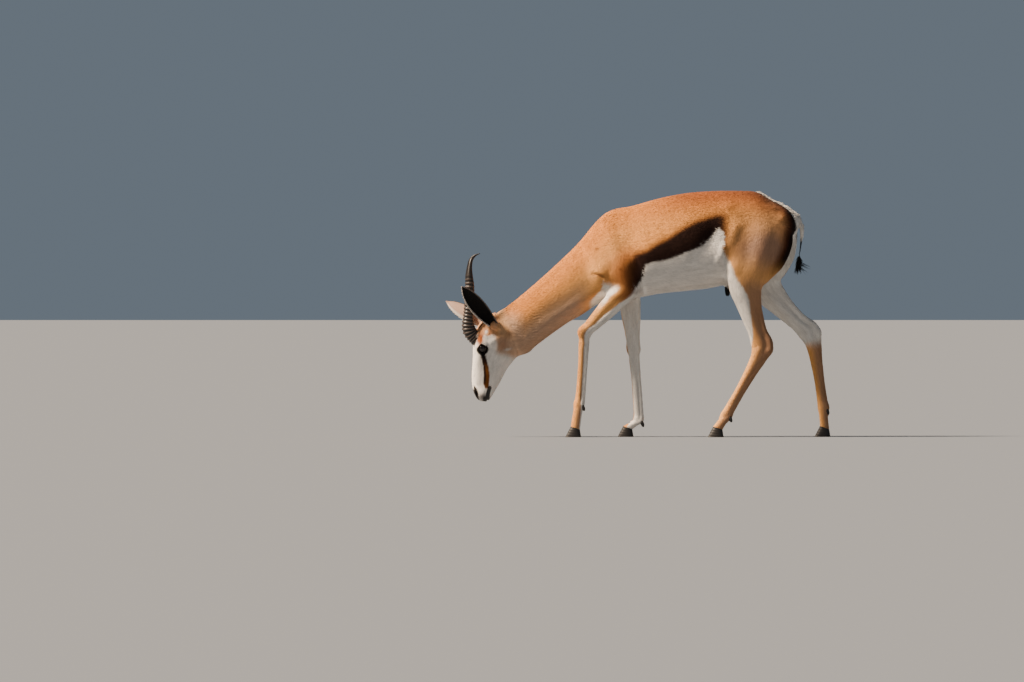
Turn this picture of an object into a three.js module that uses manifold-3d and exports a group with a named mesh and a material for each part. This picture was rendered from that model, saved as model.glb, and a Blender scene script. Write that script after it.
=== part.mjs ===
// A springbok ram grazing, life size, as a still museum model.
// Millimetres, +Z up. The animal faces -X, so its left side is -Y, and its hooves stand on one level.
// The flesh is drawn as skins through cross-sections, joined into one body, and then parted by thin cuts.

import * as THREE from "three";
import { mergeVertices } from "three/addons/utils/BufferGeometryUtils.js";
import Module from "manifold-3d";

const wasm = await Module();
wasm.setup();

// Driving sizes
const GAP = 0.3; // left between nodes that touch
const UPPER_ARM = [201, 196]; // left, right: from the shoulder joint to the elbow, as the lean shows it
const FOREARM = 208;
const FORE_CANNON = 243;
const THIGH = 218;
const GASKIN = [230, 239]; // left, right: as the lean of each shows it
const HIND_CANNON = [258, 252];
const HOOF_HEIGHT = 36;
const HOOF_LENGTH = 54;
const DIGIT_SPREAD = 12.5; // from the middle of a foot to the middle of each digit
const CORONET = { front: 16, heel: 15, half: 10.6 };
const EYE_RADIUS = 15;
const ORBIT = 24; // half width of the swelling that holds an eye, which leaves lids of about 2 mm
const HORN_RINGS = 16;
const EAR_LENGTH = 188;
const EAR_WALL = 2.6;
const EAR_BOW = 9; // how far the ear bows towards its opening
const LEG_DEPTH = 25; // how deep the top of each leg reaches into the trunk
const HEAD_TURN = 3; // degrees that the face turns towards the animal's left
const BODY_SIDES = 20; // points around the trunk and the head
const INSIDE_SIDES = 12; // and around the plain shapes that lie inside them
const LEG_SIDES = 12;
const HOOF_SIDES = 12;
const HORN_SIDES = 12;
const CREST_START = 13.7; // the first lock's root, in rows of the trunk
const CREST_STEP = 0.21;
const RIDGE = 2.3; // height of the lowest ring of a horn
const CREST_ROWS = 10;
const TAIL_LOCKS = 7;
const SHEATH_LOCKS = 4;

// Colours
const TAN = 0xc07a45;
const WHITE = 0xe6e0d6;
const RUFOUS = 0x9a5527;
const HORN_BLACK = 0x1d1a18;
const HOOF_BLACK = 0x24201d;
const EAR_GREY = 0xa89078;

// The trunk and neck, head end first.
// Each row: top x, top z, bottom x, bottom z, half width, place of the widest line, top power, bottom power.
const TRUNK = [
  [-496, 404, -450, 330, 26, 0.5, 2, 2],
  [-478, 426, -424, 276, 42, 0.45, 2, 2],
  [-448, 443, -385, 277, 46, 0.45, 2, 2],
  [-405, 477, -337, 315, 46, 0.45, 2, 2],
  [-335, 537, -250, 378, 48, 0.44, 2, 2],
  [-266, 600, -192, 412, 56, 0.44, 1.9, 2],
  [-200, 665, -150, 440, 68, 0.42, 1.8, 2],
  [-140, 737, -115, 456, 79, 0.4, 1.6, 2.1],
  [-92, 772, -82, 460, 86, 0.4, 1.55, 2.2],
  [-20, 787, -20, 465, 93, 0.42, 1.6, 2.2],
  [68, 811, 68, 483, 102, 0.44, 1.8, 2.2],
  [160, 829, 160, 493, 107, 0.45, 2, 2.2],
  [250, 836, 250, 504, 103, 0.47, 2.1, 2.2],
  [330, 837, 328, 526, 94, 0.52, 2.2, 2.1],
  [398, 833, 392, 560, 88, 0.56, 2.2, 2],
  [452, 806, 436, 590, 82, 0.56, 2.1, 2],
  [503, 783, 476, 612, 70, 0.55, 2, 2],
  [534, 755, 506, 645, 52, 0.5, 2, 2],
  [546, 728, 530, 680, 26, 0.5, 2, 2],
];

// The head, poll first. The same columns, with the forehead side as the top and the jaw side as the bottom.
const HEAD = [
  [-494, 420, -452, 392, 20, 0.5, 2, 2],
  [-520, 408, -424, 334, 40, 0.5, 2.1, 2],
  [-545, 376, -404, 300, 47, 0.58, 2.7, 1.9],
  [-558, 340, -405, 280, 50, 0.66, 3.2, 1.7],
  [-561, 308, -417, 259, 51, 0.68, 3.2, 1.6],
  [-562, 275, -437, 241, 46, 0.62, 2.5, 1.6],
  [-564, 240, -453, 216, 38, 0.55, 2, 1.7],
  [-566, 207, -466, 190, 30, 0.52, 1.9, 1.8],
  [-565, 180, -479, 168, 26, 0.52, 2, 1.9],
  [-561, 158, -489, 151, 24, 0.54, 2.5, 2],
  [-554, 141, -498, 137, 23.5, 0.54, 2.7, 2.1],
  [-546, 129, -506, 127, 19, 0.52, 2.5, 2.1],
  [-535, 122, -518, 121, 9, 0.5, 2, 2],
];

// Girth of each leg. Each row: bone, share of the way along it, reach in front, reach behind, half width.
const FORE_GIRTH = [
  [0, 0, 26, 26, 14],
  [0, 0.15, 46, 42, 20],
  [0, 0.45, 68, 64, 31],
  [0, 0.75, 72, 62, 33],
  [1, 0, 47, 42, 28],
  [1, 0.25, 42, 36, 25],
  [1, 0.5, 33, 33, 21],
  [1, 0.78, 23, 28, 17],
  [2, 0, 18, 27, 17],
  [2, 0.14, 15, 23, 14],
  [2, 0.45, 11.5, 22, 11.5],
  [2, 0.85, 12.5, 21.5, 12],
  [3, 0, 17, 19, 16],
  [3, 0.42, 14, 15, 17],
];
const HIND_GIRTH = [
  [0, -0.32, 60, 50, 20],
  [0, -0.14, 98, 102, 34],
  [0, 0.12, 112, 132, 45],
  [0, 0.5, 92, 128, 47],
  [0, 0.82, 60, 100, 42],
  [1, 0.05, 40, 82, 34],
  [1, 0.25, 35, 62, 28],
  [1, 0.5, 30, 45, 22],
  [1, 0.76, 27, 37, 18],
  [1, 0.93, 32, 43, 17],
  [2, 0.02, 33, 38, 17],
  [2, 0.14, 21.5, 34, 15.5],
  [2, 0.32, 16, 28, 13],
  [2, 0.62, 13.5, 22, 12],
  [2, 0.88, 16, 20, 13],
  [3, 0, 18, 21, 17],
  [3, 0.42, 15, 17, 17.5],
];

// How each leg stands. lean: how far each bone slopes forwards from straight down, in degrees.
// foot: from the fetlock to the middle of the coronet. outward: each joint's distance from the midline.
const FORE = { girth: FORE_GIRTH, top: [-64, 700], outward: [48, 66, 58, 53, 53] };
const HIND = { girth: HIND_GIRTH, top: [408, 724], outward: [47, 63, 58, 55, 55] };
const LEGS = {
  leg_front_left: {
    ...FORE, side: -1, bones: [UPPER_ARM[0], FOREARM, FORE_CANNON], lean: [-7.5, 45.7, 3.8], foot: 11,
  },
  leg_front_right: {
    ...FORE, side: 1, bones: [UPPER_ARM[1], FOREARM, FORE_CANNON], lean: [-10.7, -2, -4.5], foot: 34,
  },
  leg_hind_left: {
    ...HIND, side: -1, bones: [THIGH, GASKIN[0], HIND_CANNON[0]], lean: [19, -20.3, 28], foot: 27,
  },
  leg_hind_right: {
    ...HIND, side: 1, bones: [THIGH, GASKIN[1], HIND_CANNON[1]], lean: [1, -48.4, -10.1], foot: -6,
  },
};

// Where each leg is parted from the trunk: a line in the side view from low in front, over the top, to low
// behind, and the distance from the midline at which the leg starts.
const FORE_PARTING = {
  inner: 26,
  line: [
    [-330, -10], [-330, 300], [-232, 372], [-198, 393], [-164, 425], [-130, 455], [-123, 520], [-114, 580],
    [-90, 622], [-50, 636], [-12, 615], [8, 560], [14, 500], [40, 452], [150, 430], [150, -10],
  ],
};
const HIND_PARTING = {
  inner: 12,
  line: [
    [180, -10], [180, 450], [318, 486], [308, 525], [299, 549], [288, 593], [280, 640], [296, 692],
    [340, 730], [405, 746], [468, 732], [514, 690], [560, 650], [640, 560], [720, 480], [720, -10],
  ],
};
const NECK_CUT = [[-150, 760], [-130, 440]]; // from the withers down to the front of the chest
const HEAD_CUT = [[-470, 435], [-402, 262]]; // from the nape down to behind the jaw
const HEAD_PIVOT = [-470, 0]; // the head turns about a plumb line through this x and y

const EYE = [-532, 38.5, 299.5];
const NOSTRIL = [-551, 17, 147];
const MOUTH = { x: -513, corner: 166, slit: 2.6, depth: 4 };

// The middle line of a horn, on the animal's right, and its half depth along that line.
const HORN_LINE = [
  [-540, 20, 326], [-558, 23, 341], [-572, 27.5, 358], [-577.5, 32, 379], [-577.5, 36, 402],
  [-575.5, 41, 435], [-573.5, 45.5, 475], [-572.5, 48, 512], [-574.5, 47.5, 546], [-573, 44, 576],
  [-568, 38.5, 600], [-556, 32, 614], [-539, 27, 622],
];
const HORN_DEPTH = [[24], [22.8], [20.2], [15.6], [14.6], [14.2], [13.6], [11], [7], [4.8], [1.2]];
const HORN_FLATNESS = 0.76; // width as a share of depth
const BARE = 0.07; // share of the horn below its first ring
const RINGED = 0.7; // and up to its last ring

// How each ear points, from its root to its tip, and how it opens.
const EAR_ROOT = [-490, 38, 376];
const EARS = {
  ear_left: { side: -1, along: [-115, 63, 135], open: [-0.3, 1, 0] },
  ear_right: { side: 1, along: [-159, 54, 85], open: [0.03, 0.87, -0.5] },
};
const EAR_WIDTHS = [[16], [20], [24.5], [27], [27], [23.5], [15.5], [1.6]]; // half widths, root to tip
const EAR_CURLS = [[105], [98], [86], [76], [68], [60], [52], [45]]; // half of the arc, in degrees

// The tail's middle line, and its half depth and flatness along it; then the stubs that the dark locks hang from.
const TAIL_LINE = [
  [516, 0, 756], [537, 0, 750], [550, 0, 726], [554, 2, 692], [551, 1, 662], [547, 0, 634], [544, 0, 606],
];
const TAIL_HALVES = [
  [0, 12, 0.8], [0.1, 12, 0.8], [0.25, 11, 0.85], [0.45, 9.5, 0.95], [0.6, 7, 1], [0.75, 5, 1], [0.9, 4.5, 1],
  [1, 4, 1],
];
const TUFT_LINE = [[544, 0, 605.5], [542, 0, 593], [541, 0, 580]];
const TUFT_HALVES = [[0, 4, 1], [0.5, 5.4, 1], [1, 3, 1]];
const SHEATH_LINE = [[303, 0, 528], [302, 0, 511], [301, 0, 498]];
const SHEATH_HALVES = [[0, 13, 0.8], [0.5, 11, 0.8], [1, 6, 0.8]];
const PURSE = { centre: [384, 0, 543], radii: [22, 19, 34] };

// Small seeded random numbers, so that the locks come out alike each time.
function seeded(seed) {
  let state = seed;
  return () => {
    state = (state * 1664525 + 1013904223) % 4294967296;
    return state / 4294967296;
  };
}

// Catmull-Rom interpolation through rows of numbers; row i is met at t = i.
function rowAt(rows, t) {
  const i = Math.max(0, Math.min(Math.floor(t), rows.length - 2));
  const f = t - i;
  const at = (k) => rows[Math.max(0, Math.min(rows.length - 1, k))];
  return rows[i].map((_, c) => {
    const [a, b, d, e] = [at(i - 1)[c], at(i)[c], at(i + 1)[c], at(i + 2)[c]];
    return b + 0.5 * f * (d - a + f * (2 * a - 5 * b + 4 * d - e + f * (3 * (b - d) + e - a)));
  });
}

// The rows with more between them.
function finer(rows, perSpan) {
  const count = (rows.length - 1) * perSpan;
  return Array.from({ length: count + 1 }, (_, i) => rowAt(rows, i / perSpan));
}

// A closed skin through rings of points, each ring with the same count; both ends are closed by a fan.
function skin(rings) {
  const sides = rings[0].length;
  const points = rings.flat();
  const index = [];
  for (let r = 0; r < rings.length - 1; r++) {
    for (let s = 0; s < sides; s++) {
      const a = r * sides + s;
      const b = r * sides + ((s + 1) % sides);
      index.push(a, b, a + sides, b, b + sides, a + sides);
    }
  }
  for (const end of [0, rings.length - 1]) {
    const middle = points.length;
    const sum = rings[end].reduce((total, p) => total.add(p), new THREE.Vector3());
    points.push(sum.divideScalar(sides));
    for (let s = 0; s < sides; s++) {
      const a = end * sides + s;
      const b = end * sides + ((s + 1) % sides);
      index.push(...(end ? [a, b, middle] : [b, a, middle]));
    }
  }
  return new THREE.BufferGeometry().setFromPoints(points).setIndex(index);
}

// A point on a cross-section: a rounded outline between two edge points of the side view, at distance y.
function sectionPoint(row, y, angle, grow = 0) {
  const [ax, az, bx, bz, width, widest, powerA, powerB] = row;
  const a = new THREE.Vector3(ax, y, az);
  const b = new THREE.Vector3(bx, y, bz);
  const middle = b.clone().lerp(a, widest);
  const along = a.clone().sub(b).normalize();
  const [c, s] = [Math.cos(angle), Math.sin(angle)];
  const power = 2 / (s > 0 ? powerA : powerB);
  const reach = s > 0 ? a.distanceTo(middle) : b.distanceTo(middle);
  const up = Math.sign(s) * Math.abs(s) ** power * (reach + grow);
  const out = Math.sign(c) * Math.abs(c) ** power * (width + grow);
  return middle.addScaledVector(along, up).add(new THREE.Vector3(0, out, 0));
}

function ring(row, y, sides, grow = 0) {
  const step = (2 * Math.PI) / sides;
  return Array.from({ length: sides }, (_, i) => sectionPoint(row, y, step * (i + 0.5), grow));
}

// A three.js geometry as a manifold-3d solid, with its faces turned outwards.
function solid(geometry) {
  const plain = geometry.clone();
  for (const name of Object.keys(plain.attributes)) {
    if (name !== "position") plain.deleteAttribute(name);
  }
  const merged = mergeVertices(plain, 1e-4);
  const at = merged.attributes.position;
  const triVerts = new Uint32Array(merged.index.array);
  const corner = (k) => new THREE.Vector3().fromBufferAttribute(at, triVerts[k]);
  let volume = 0;
  for (let k = 0; k < triVerts.length; k += 3) {
    volume += corner(k).dot(corner(k + 1).cross(corner(k + 2)));
  }
  if (volume < 0) triVerts.reverse();
  const vertProperties = new Float32Array(at.array);
  return new wasm.Manifold(new wasm.Mesh({ numProp: 3, vertProperties, triVerts }));
}

const joined = (solids) => solids.reduce((all, one) => all.add(one));
const largest = (one) => one.decompose().reduce((a, b) => (b.volume() > a.volume() ? b : a));

// A block with the given outline in the side view, between two distances from the midline.
function sideBlock(points, from, to) {
  const shape = new THREE.Shape(points.map(([x, z]) => new THREE.Vector2(x, z)));
  const block = new THREE.ExtrudeGeometry(shape, { depth: Math.abs(to - from), bevelEnabled: false });
  return block.rotateX(Math.PI / 2).translate(0, Math.max(from, to), 0);
}

// Everything beyond a straight cut through the side view, on the side of the rump.
function beyond([[ax, az], [bx, bz]], shift = 0) {
  const [far, length] = [1500, Math.hypot(bx - ax, bz - az)];
  const [dx, dz] = [(bx - ax) / length, (bz - az) / length];
  const at = (along, out) => [ax + dx * along - dz * out, az + dz * along + dx * out];
  return solid(sideBlock([at(-far, shift), at(far, shift), at(far, far), at(-far, far)], -300, 300));
}

// A closed outline moved outwards, with its points in clockwise order in the side view.
function widened(points, by) {
  return points.map(([x, z], i) => {
    const [px, pz] = points[(i + points.length - 1) % points.length];
    const [nx, nz] = points[(i + 1) % points.length];
    const length = Math.hypot(nx - px, nz - pz);
    return [x - (by * (nz - pz)) / length, z + (by * (nx - px)) / length];
  });
}

// The trunk and neck; grown, it also reaches further behind its last cross-section.
function trunk(grow = 0) {
  const rings = finer(TRUNK, 2).map((row) => ring(row, 0, BODY_SIDES, grow));
  if (grow > 0) rings.push(rings.at(-1).map((p) => p.clone().setX(p.x + grow)));
  return solid(skin(rings));
}

// The middle of the trunk, which the legs leave alone. Shrunk further, it draws back at its ends too.
function core(shrink) {
  const rows = TRUNK.slice(6, 17).map((row) => [...row]);
  for (const [row, way] of [[rows[0], 1], [rows.at(-1), -1]]) {
    row[0] += way * (shrink - LEG_DEPTH);
    row[2] += way * (shrink - LEG_DEPTH);
  }
  return solid(skin(rows.map((row) => ring(row, 0, INSIDE_SIDES, -shrink))));
}

// Turns a shape of the head about the plumb line of the neck.
function turned(geometry) {
  const [x, y] = HEAD_PIVOT;
  return geometry.translate(-x, -y, 0).rotateZ(THREE.MathUtils.degToRad(HEAD_TURN)).translate(x, y, 0);
}

const skull = (grow = 0) => solid(turned(skin(finer(HEAD, 2).map((row) => ring(row, 0, BODY_SIDES, grow)))));

// The inside of the muzzle, below the depth that a groove is cut to.
const muzzle = (depth) => solid(turned(skin(HEAD.slice(7).map((row) => ring(row, 0, INSIDE_SIDES, -depth)))));

function ball([x, y, z], [rx, ry, rz], detail = 16) {
  return new THREE.SphereGeometry(1, detail, detail / 2).scale(rx, ry, rz).translate(x, y, z);
}

// An eye's opening between the lids: a leaf shape along the face, cut outwards from the eye.
function lidOpening(side) {
  const [length, height, steps, slope] = [33, 23, 7, -1.35];
  const edge = (i, sign) => {
    const t = i / steps - 0.5;
    const [u, v] = [t * length, sign * (0.5 * height) * (1 - (2 * t) ** 2) ** 0.8];
    const [c, s] = [Math.cos(slope), Math.sin(slope)];
    return [EYE[0] + u * c - v * s, EYE[2] + u * s + v * c];
  };
  const upper = Array.from({ length: steps }, (_, i) => edge(i, 1));
  const lower = Array.from({ length: steps }, (_, i) => edge(steps - i, -1));
  return turned(sideBlock([...upper, ...lower], side * (EYE[1] + 4), side * (EYE[1] + 40)));
}

// The swelling that holds an eye.
function orbit(side, grow = 0) {
  const centre = [EYE[0] + 3, side * (EYE[1] - 6), EYE[2] + 4];
  return solid(turned(ball(centre, [27 + grow, ORBIT + grow, 34 + grow], 14)));
}

// The head's own forms: the swellings and lids about the eyes, the nostrils and the line of the mouth.
function faceForms(flesh) {
  const sides = [-1, 1];
  const withOrbits = joined([flesh, ...sides.map((side) => orbit(side))]);
  const cuts = sides.flatMap((side) => [
    solid(lidOpening(side)),
    solid(turned(ball([EYE[0], side * EYE[1], EYE[2]], Array(3).fill(EYE_RADIUS + GAP), 16))),
    solid(turned(ball([0, 0, 0], [4.4, 9, 12], 10).rotateZ(side * 0.75).rotateY(0.5)
      .translate(NOSTRIL[0], side * NOSTRIL[1], NOSTRIL[2]))),
  ]);
  const { x, corner, slit, depth } = MOUTH;
  const line = [[x, 100], [x, 130], [x + 2, 150], [x + 7, corner]];
  const outline = [...line, ...line.map(([px, pz]) => [px + slit, pz]).reverse()];
  const mouth = solid(turned(sideBlock(outline, -60, 60))).subtract(muzzle(depth));
  return cuts.reduce((rest, cut) => rest.subtract(cut), withOrbits).subtract(mouth);
}

// Where a leg's joints are: shoulder or hip, elbow or knee, carpus or hock, fetlock, coronet.
function joints(leg) {
  let [x, z] = leg.top;
  const places = [[x, z]];
  leg.bones.forEach((bone, i) => {
    const lean = THREE.MathUtils.degToRad(leg.lean[i]);
    x -= bone * Math.sin(lean);
    z -= bone * Math.cos(lean);
    places.push([x, z]);
  });
  places.push([x - leg.foot, HOOF_HEIGHT * 0.85]);
  return places.map(([px, pz], i) => new THREE.Vector3(px, leg.side * leg.outward[i], pz));
}

// The cross-sections of a leg, square to the line of its bones, down to just below its fetlock.
function legRows(leg, places) {
  const centres = leg.girth.map(([bone, share]) => places[bone].clone().lerp(places[bone + 1], share));
  const last = centres.length - 1;
  return leg.girth.map(([, , front, back, width], i) => {
    const run = new THREE.Vector3();
    for (const reach of [1, 2]) {
      const before = centres[Math.max(0, i - reach)];
      const after = centres[Math.min(last, i + reach)];
      run.add(after.clone().sub(before).normalize());
    }
    const length = Math.hypot(run.x, run.z);
    const [fx, fz] = [run.z / length, -run.x / length];
    const { x, y, z } = centres[i];
    const widest = back / (front + back);
    return [x + fx * front, z + fz * front, x - fx * back, z - fz * back, width, widest, 2, 2, y];
  });
}

// The oval where a digit meets its hoof, higher in front than at the heel.
function coronetRow(x, lift) {
  const { front, heel, half } = CORONET;
  return [x - front, HOOF_HEIGHT + lift, x + heel, HOOF_HEIGHT * 0.7 + lift, half, 0.5, 2, 2];
}

const digitY = (places, toe) => places[4].y + toe * DIGIT_SPREAD;

function digit(places, toe, grow) {
  const [fetlock, foot] = [places[3], places[4]];
  const end = [...coronetRow(foot.x, GAP), digitY(places, toe)];
  const top = [fetlock.x - 15, fetlock.z - 2, fetlock.x + 14, fetlock.z - 6, 9, 0.5, 2, 2, fetlock.y + toe * 8];
  const middle = top.map((v, i) => v + (end[i] - v) * 0.5);
  middle[8] = digitY(places, toe) - toe * 1.5;
  return solid(skin(finer([top, middle, end], 2).map((row) => ring(row, row[8], 10, grow))));
}

function legFlesh(leg, grow = 0) {
  const places = joints(leg);
  const shaft = finer(legRows(leg, places), 2).map((row) => ring(row, row[8], LEG_SIDES, grow));
  return joined([solid(skin(shaft)), digit(places, -1, grow), digit(places, 1, grow)]);
}

// A hoof: from the oval of the coronet to a flat sole that is pointed in front.
function hoof(leg, toe) {
  const places = joints(leg);
  const x = places[4].x;
  const top = coronetRow(x, 0);
  const sole = [x - HOOF_LENGTH + 19, 0, x + 19, 0, 11.6, 0.42, 1.5, 2.6];
  const middle = top.map((v, i) => v * 0.5 + sole[i] * 0.5 + (i === 4 ? 0.4 : 0));
  return solid(skin([top, middle, sole].map((row) => ring(row, digitY(places, toe), HOOF_SIDES))));
}

function dewclaw(leg, toe) {
  const fetlock = joints(leg)[3];
  const claw = ball([0, 0, 0], [6, 7, 12], 8).rotateY(-0.35);
  return solid(claw.translate(fetlock.x + 15, fetlock.y + toe * 10, fetlock.z - 13)).subtract(legFlesh(leg, GAP));
}

// Rings of points about a curve in space; half sizes are across it and along the given side direction.
function tube(points, halves, sides, ridge = () => 0) {
  const curve = new THREE.CatmullRomCurve3(points.map((p) => new THREE.Vector3(...p)));
  return halves.map(([t, half, flat], i) => {
    const tangent = curve.getTangentAt(t);
    const out = new THREE.Vector3(0, 1, 0).projectOnPlane(tangent).normalize();
    const front = tangent.clone().cross(out);
    const centre = curve.getPointAt(t);
    return Array.from({ length: sides }, (_, s) => {
      const angle = (2 * Math.PI * s) / sides;
      const r = half + ridge(i, angle);
      const across = r * flat * Math.sin(angle);
      return centre.clone().addScaledVector(front, r * Math.cos(angle)).addScaledVector(out, across);
    });
  });
}

// A horn: raised rings, close at the base and wider apart above, then a smooth tip.
function horn(side) {
  const count = 2 * HORN_RINGS;
  const ringed = Array.from({ length: count + 1 }, (_, i) => BARE + (RINGED - BARE) * (i / count) ** 1.15);
  const smooth = [0.76, 0.82, 0.88, 0.93, 0.97, 1];
  const stops = [0, ...ringed, ...smooth];
  const halves = stops.map((t) => [t, rowAt(HORN_DEPTH, t * (HORN_DEPTH.length - 1))[0], HORN_FLATNESS]);
  const ridge = (i, angle) => {
    if (i === 0 || i > count) return 0;
    const height = RIDGE * (1 - stops[i]);
    return (i % 2 ? -height : height) * (0.75 + 0.25 * Math.cos(angle));
  };
  const line = HORN_LINE.map(([x, y, z]) => [x, side * y, z]);
  return solid(turned(skin(tube(line, halves, HORN_SIDES, ridge)))).subtract(skull(GAP)).subtract(orbit(side, GAP));
}

// An ear: a cup of even wall, open from a little above its root, rolled at the root and flatter at the tip.
function ear({ side, along, open }) {
  const [steps, across] = [12, 8];
  const axis = new THREE.Vector3(along[0], side * along[1], along[2]).normalize();
  const mouth = new THREE.Vector3(open[0], side * open[1], open[2]).projectOnPlane(axis).normalize();
  const wide = axis.clone().cross(mouth);
  const root = new THREE.Vector3(EAR_ROOT[0], side * EAR_ROOT[1], EAR_ROOT[2]);
  const rings = Array.from({ length: steps + 1 }, (_, i) => {
    const u = i / steps;
    const half = rowAt(EAR_WIDTHS, u * (EAR_WIDTHS.length - 1))[0];
    const curl = THREE.MathUtils.degToRad(rowAt(EAR_CURLS, u * (EAR_CURLS.length - 1))[0]);
    const radius = half / Math.sin(Math.min(curl, Math.PI / 2));
    const wall = Math.min(EAR_WALL * (1 - 0.45 * u), radius * 0.6);
    const cup = Math.min(1, u / 0.22);
    const bow = EAR_BOW * Math.sin(Math.PI * u);
    const centre = root.clone().addScaledVector(axis, EAR_LENGTH * u).addScaledVector(mouth, bow);
    const arc = (r, v) => [r * Math.sin(v * curl), radius * Math.cos(curl) - r * Math.cos(v * curl)];
    const place = ([w, o]) => centre.clone().addScaledVector(wide, w).addScaledVector(mouth, o);
    const outer = Array.from({ length: across + 1 }, (_, k) => place(arc(radius, -1 + (2 * k) / across)));
    const inner = Array.from({ length: across + 1 }, (_, k) => {
      const v = 1 - (2 * k) / across;
      const [w, o] = arc(radius - wall, v);
      const [rim, rimOut] = arc(radius - wall, 1);
      return place([cup * w + (1 - cup) * rim * v, cup * o + (1 - cup) * rimOut]);
    });
    return [...outer, ...inner];
  });
  return solid(turned(skin(rings))).subtract(skull(GAP));
}

const eye = (side) => solid(turned(ball([EYE[0], side * EYE[1], EYE[2]], Array(3).fill(EYE_RADIUS), 16)));

// A lock of hair: a flat strip that tapers to a point along the given places.
function lock(places, across, width, thickness) {
  const curve = new THREE.CatmullRomCurve3(places);
  const shape = [[0, 0.8], [0.35, 1], [0.7, 0.7], [1, 0.07]];
  return solid(skin(shape.map(([t, size]) => {
    const centre = curve.getPointAt(t);
    const side = across.clone().projectOnPlane(curve.getTangentAt(t)).normalize();
    const normal = side.clone().cross(curve.getTangentAt(t));
    return [[1, 0], [0, 1], [-1, 0], [0, -1]].map(([w, n]) => centre.clone()
      .addScaledVector(side, w * width * size).addScaledVector(normal, n * thickness * (0.4 + 0.6 * size)));
  })));
}

// The white crest that closes over the rump: locks that lie back along the spine on both sides of it.
function crestLocks() {
  const random = seeded(7);
  const locks = [];
  for (let row = 0; row < CREST_ROWS; row++) {
    for (const side of [-1, 1]) {
      const start = CREST_START + row * CREST_STEP + random() * 0.1 + side * 0.05;
      const spread = (Math.PI / 2) - side * (0.05 + 0.06 * random());
      const lift = 4 + 5 * random();
      const places = [0, 0.35, 0.7, 1].map((s) => {
        const t = start + s * 0.85;
        return sectionPoint(rowAt(TRUNK, t), 0, spread, -5 + (lift + 5) * s ** 0.8);
      });
      locks.push(lock(places, new THREE.Vector3(0.15 * side, 1, 0.5 * side), 9 + 2 * random(), 2.4));
    }
  }
  return locks;
}

const tail = () => solid(skin(tube(TAIL_LINE, TAIL_HALVES, 10))).subtract(trunk(GAP));

// The tuft: locks that hang from the end of the tail and fan out a little.
function tailTuft() {
  const random = seeded(11);
  const stub = skin(tube(TUFT_LINE, TUFT_HALVES, 8));
  const locks = Array.from({ length: TAIL_LOCKS }, (_, i) => {
    const turn = (i * 2 * Math.PI) / TAIL_LOCKS + random() * 0.3;
    const out = 5 + 7 * random() + (Math.cos(turn) > 0.6 ? 14 : 0);
    const fall = 36 + 12 * random();
    const places = [0, 0.4, 0.75, 1].map((s) => new THREE.Vector3(
      541 + Math.cos(turn) * (2 + out * s ** 1.5), Math.sin(turn) * (2 + 0.6 * out * s ** 1.5), 598 - fall * s));
    return lock(places, new THREE.Vector3(-Math.sin(turn), Math.cos(turn), 0), 4, 2.2);
  });
  return largest(joined([solid(stub), ...locks]));
}

// The sheath on the belly, with its dark tuft.
function sheath() {
  const random = seeded(23);
  const stub = skin(tube(SHEATH_LINE, SHEATH_HALVES, 10));
  const locks = Array.from({ length: SHEATH_LOCKS }, (_, i) => {
    const turn = (i * 2 * Math.PI) / SHEATH_LOCKS + random() * 0.4;
    const places = [0, 0.35, 0.7, 1].map((s) => new THREE.Vector3(
      301 + Math.cos(turn) * (5 - 2 * s), Math.sin(turn) * (4 - 2 * s), 504 - (22 + 6 * random()) * s));
    return lock(places, new THREE.Vector3(-Math.sin(turn), Math.cos(turn), 0), 4.4, 2.4);
  });
  return largest(joined([solid(stub), ...locks]).subtract(trunk(GAP)));
}

const parting = (leg) => (leg.girth === FORE_GIRTH ? FORE_PARTING : HIND_PARTING);

function legRegion(leg, grow) {
  const { inner, line } = parting(leg);
  const outline = widened(finer(line, 2), grow);
  return solid(sideBlock(outline, leg.side * (inner - grow), leg.side * 220));
}

// The purse between the thighs.
const purse = (grow = 0) => solid(ball(PURSE.centre, PURSE.radii.map((radius) => radius + grow), 10));

// Parts the flesh into its nodes.
function fleshNodes() {
  const flesh = joined([trunk(), skull(), ...Object.values(LEGS).map((leg) => legFlesh(leg))]);
  const nodes = {};
  let rest = flesh;
  for (const [name, leg] of Object.entries(LEGS)) {
    nodes[name] = largest(flesh.intersect(legRegion(leg, 0)).subtract(core(LEG_DEPTH)).subtract(purse(GAP)));
    rest = rest.subtract(legRegion(leg, GAP));
  }
  rest = rest.add(core(LEG_DEPTH + GAP));
  nodes.head = largest(faceForms(rest.subtract(beyond(HEAD_CUT, -GAP))));
  nodes.neck = largest(rest.intersect(beyond(HEAD_CUT)).subtract(beyond(NECK_CUT, -GAP)));
  nodes.torso = largest(joined([rest.intersect(beyond(NECK_CUT)), purse(), ...crestLocks()]));
  return nodes;
}

function mesh(name, body, color, roughness) {
  const { vertProperties, triVerts } = body.getMesh();
  const geometry = new THREE.BufferGeometry();
  geometry.setAttribute("position", new THREE.BufferAttribute(new Float32Array(vertProperties), 3));
  geometry.setIndex(new THREE.BufferAttribute(new Uint32Array(triVerts), 1));
  geometry.computeVertexNormals();
  const result = new THREE.Mesh(geometry, new THREE.MeshStandardMaterial({ color, roughness, metalness: 0 }));
  result.name = name;
  return result;
}

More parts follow.
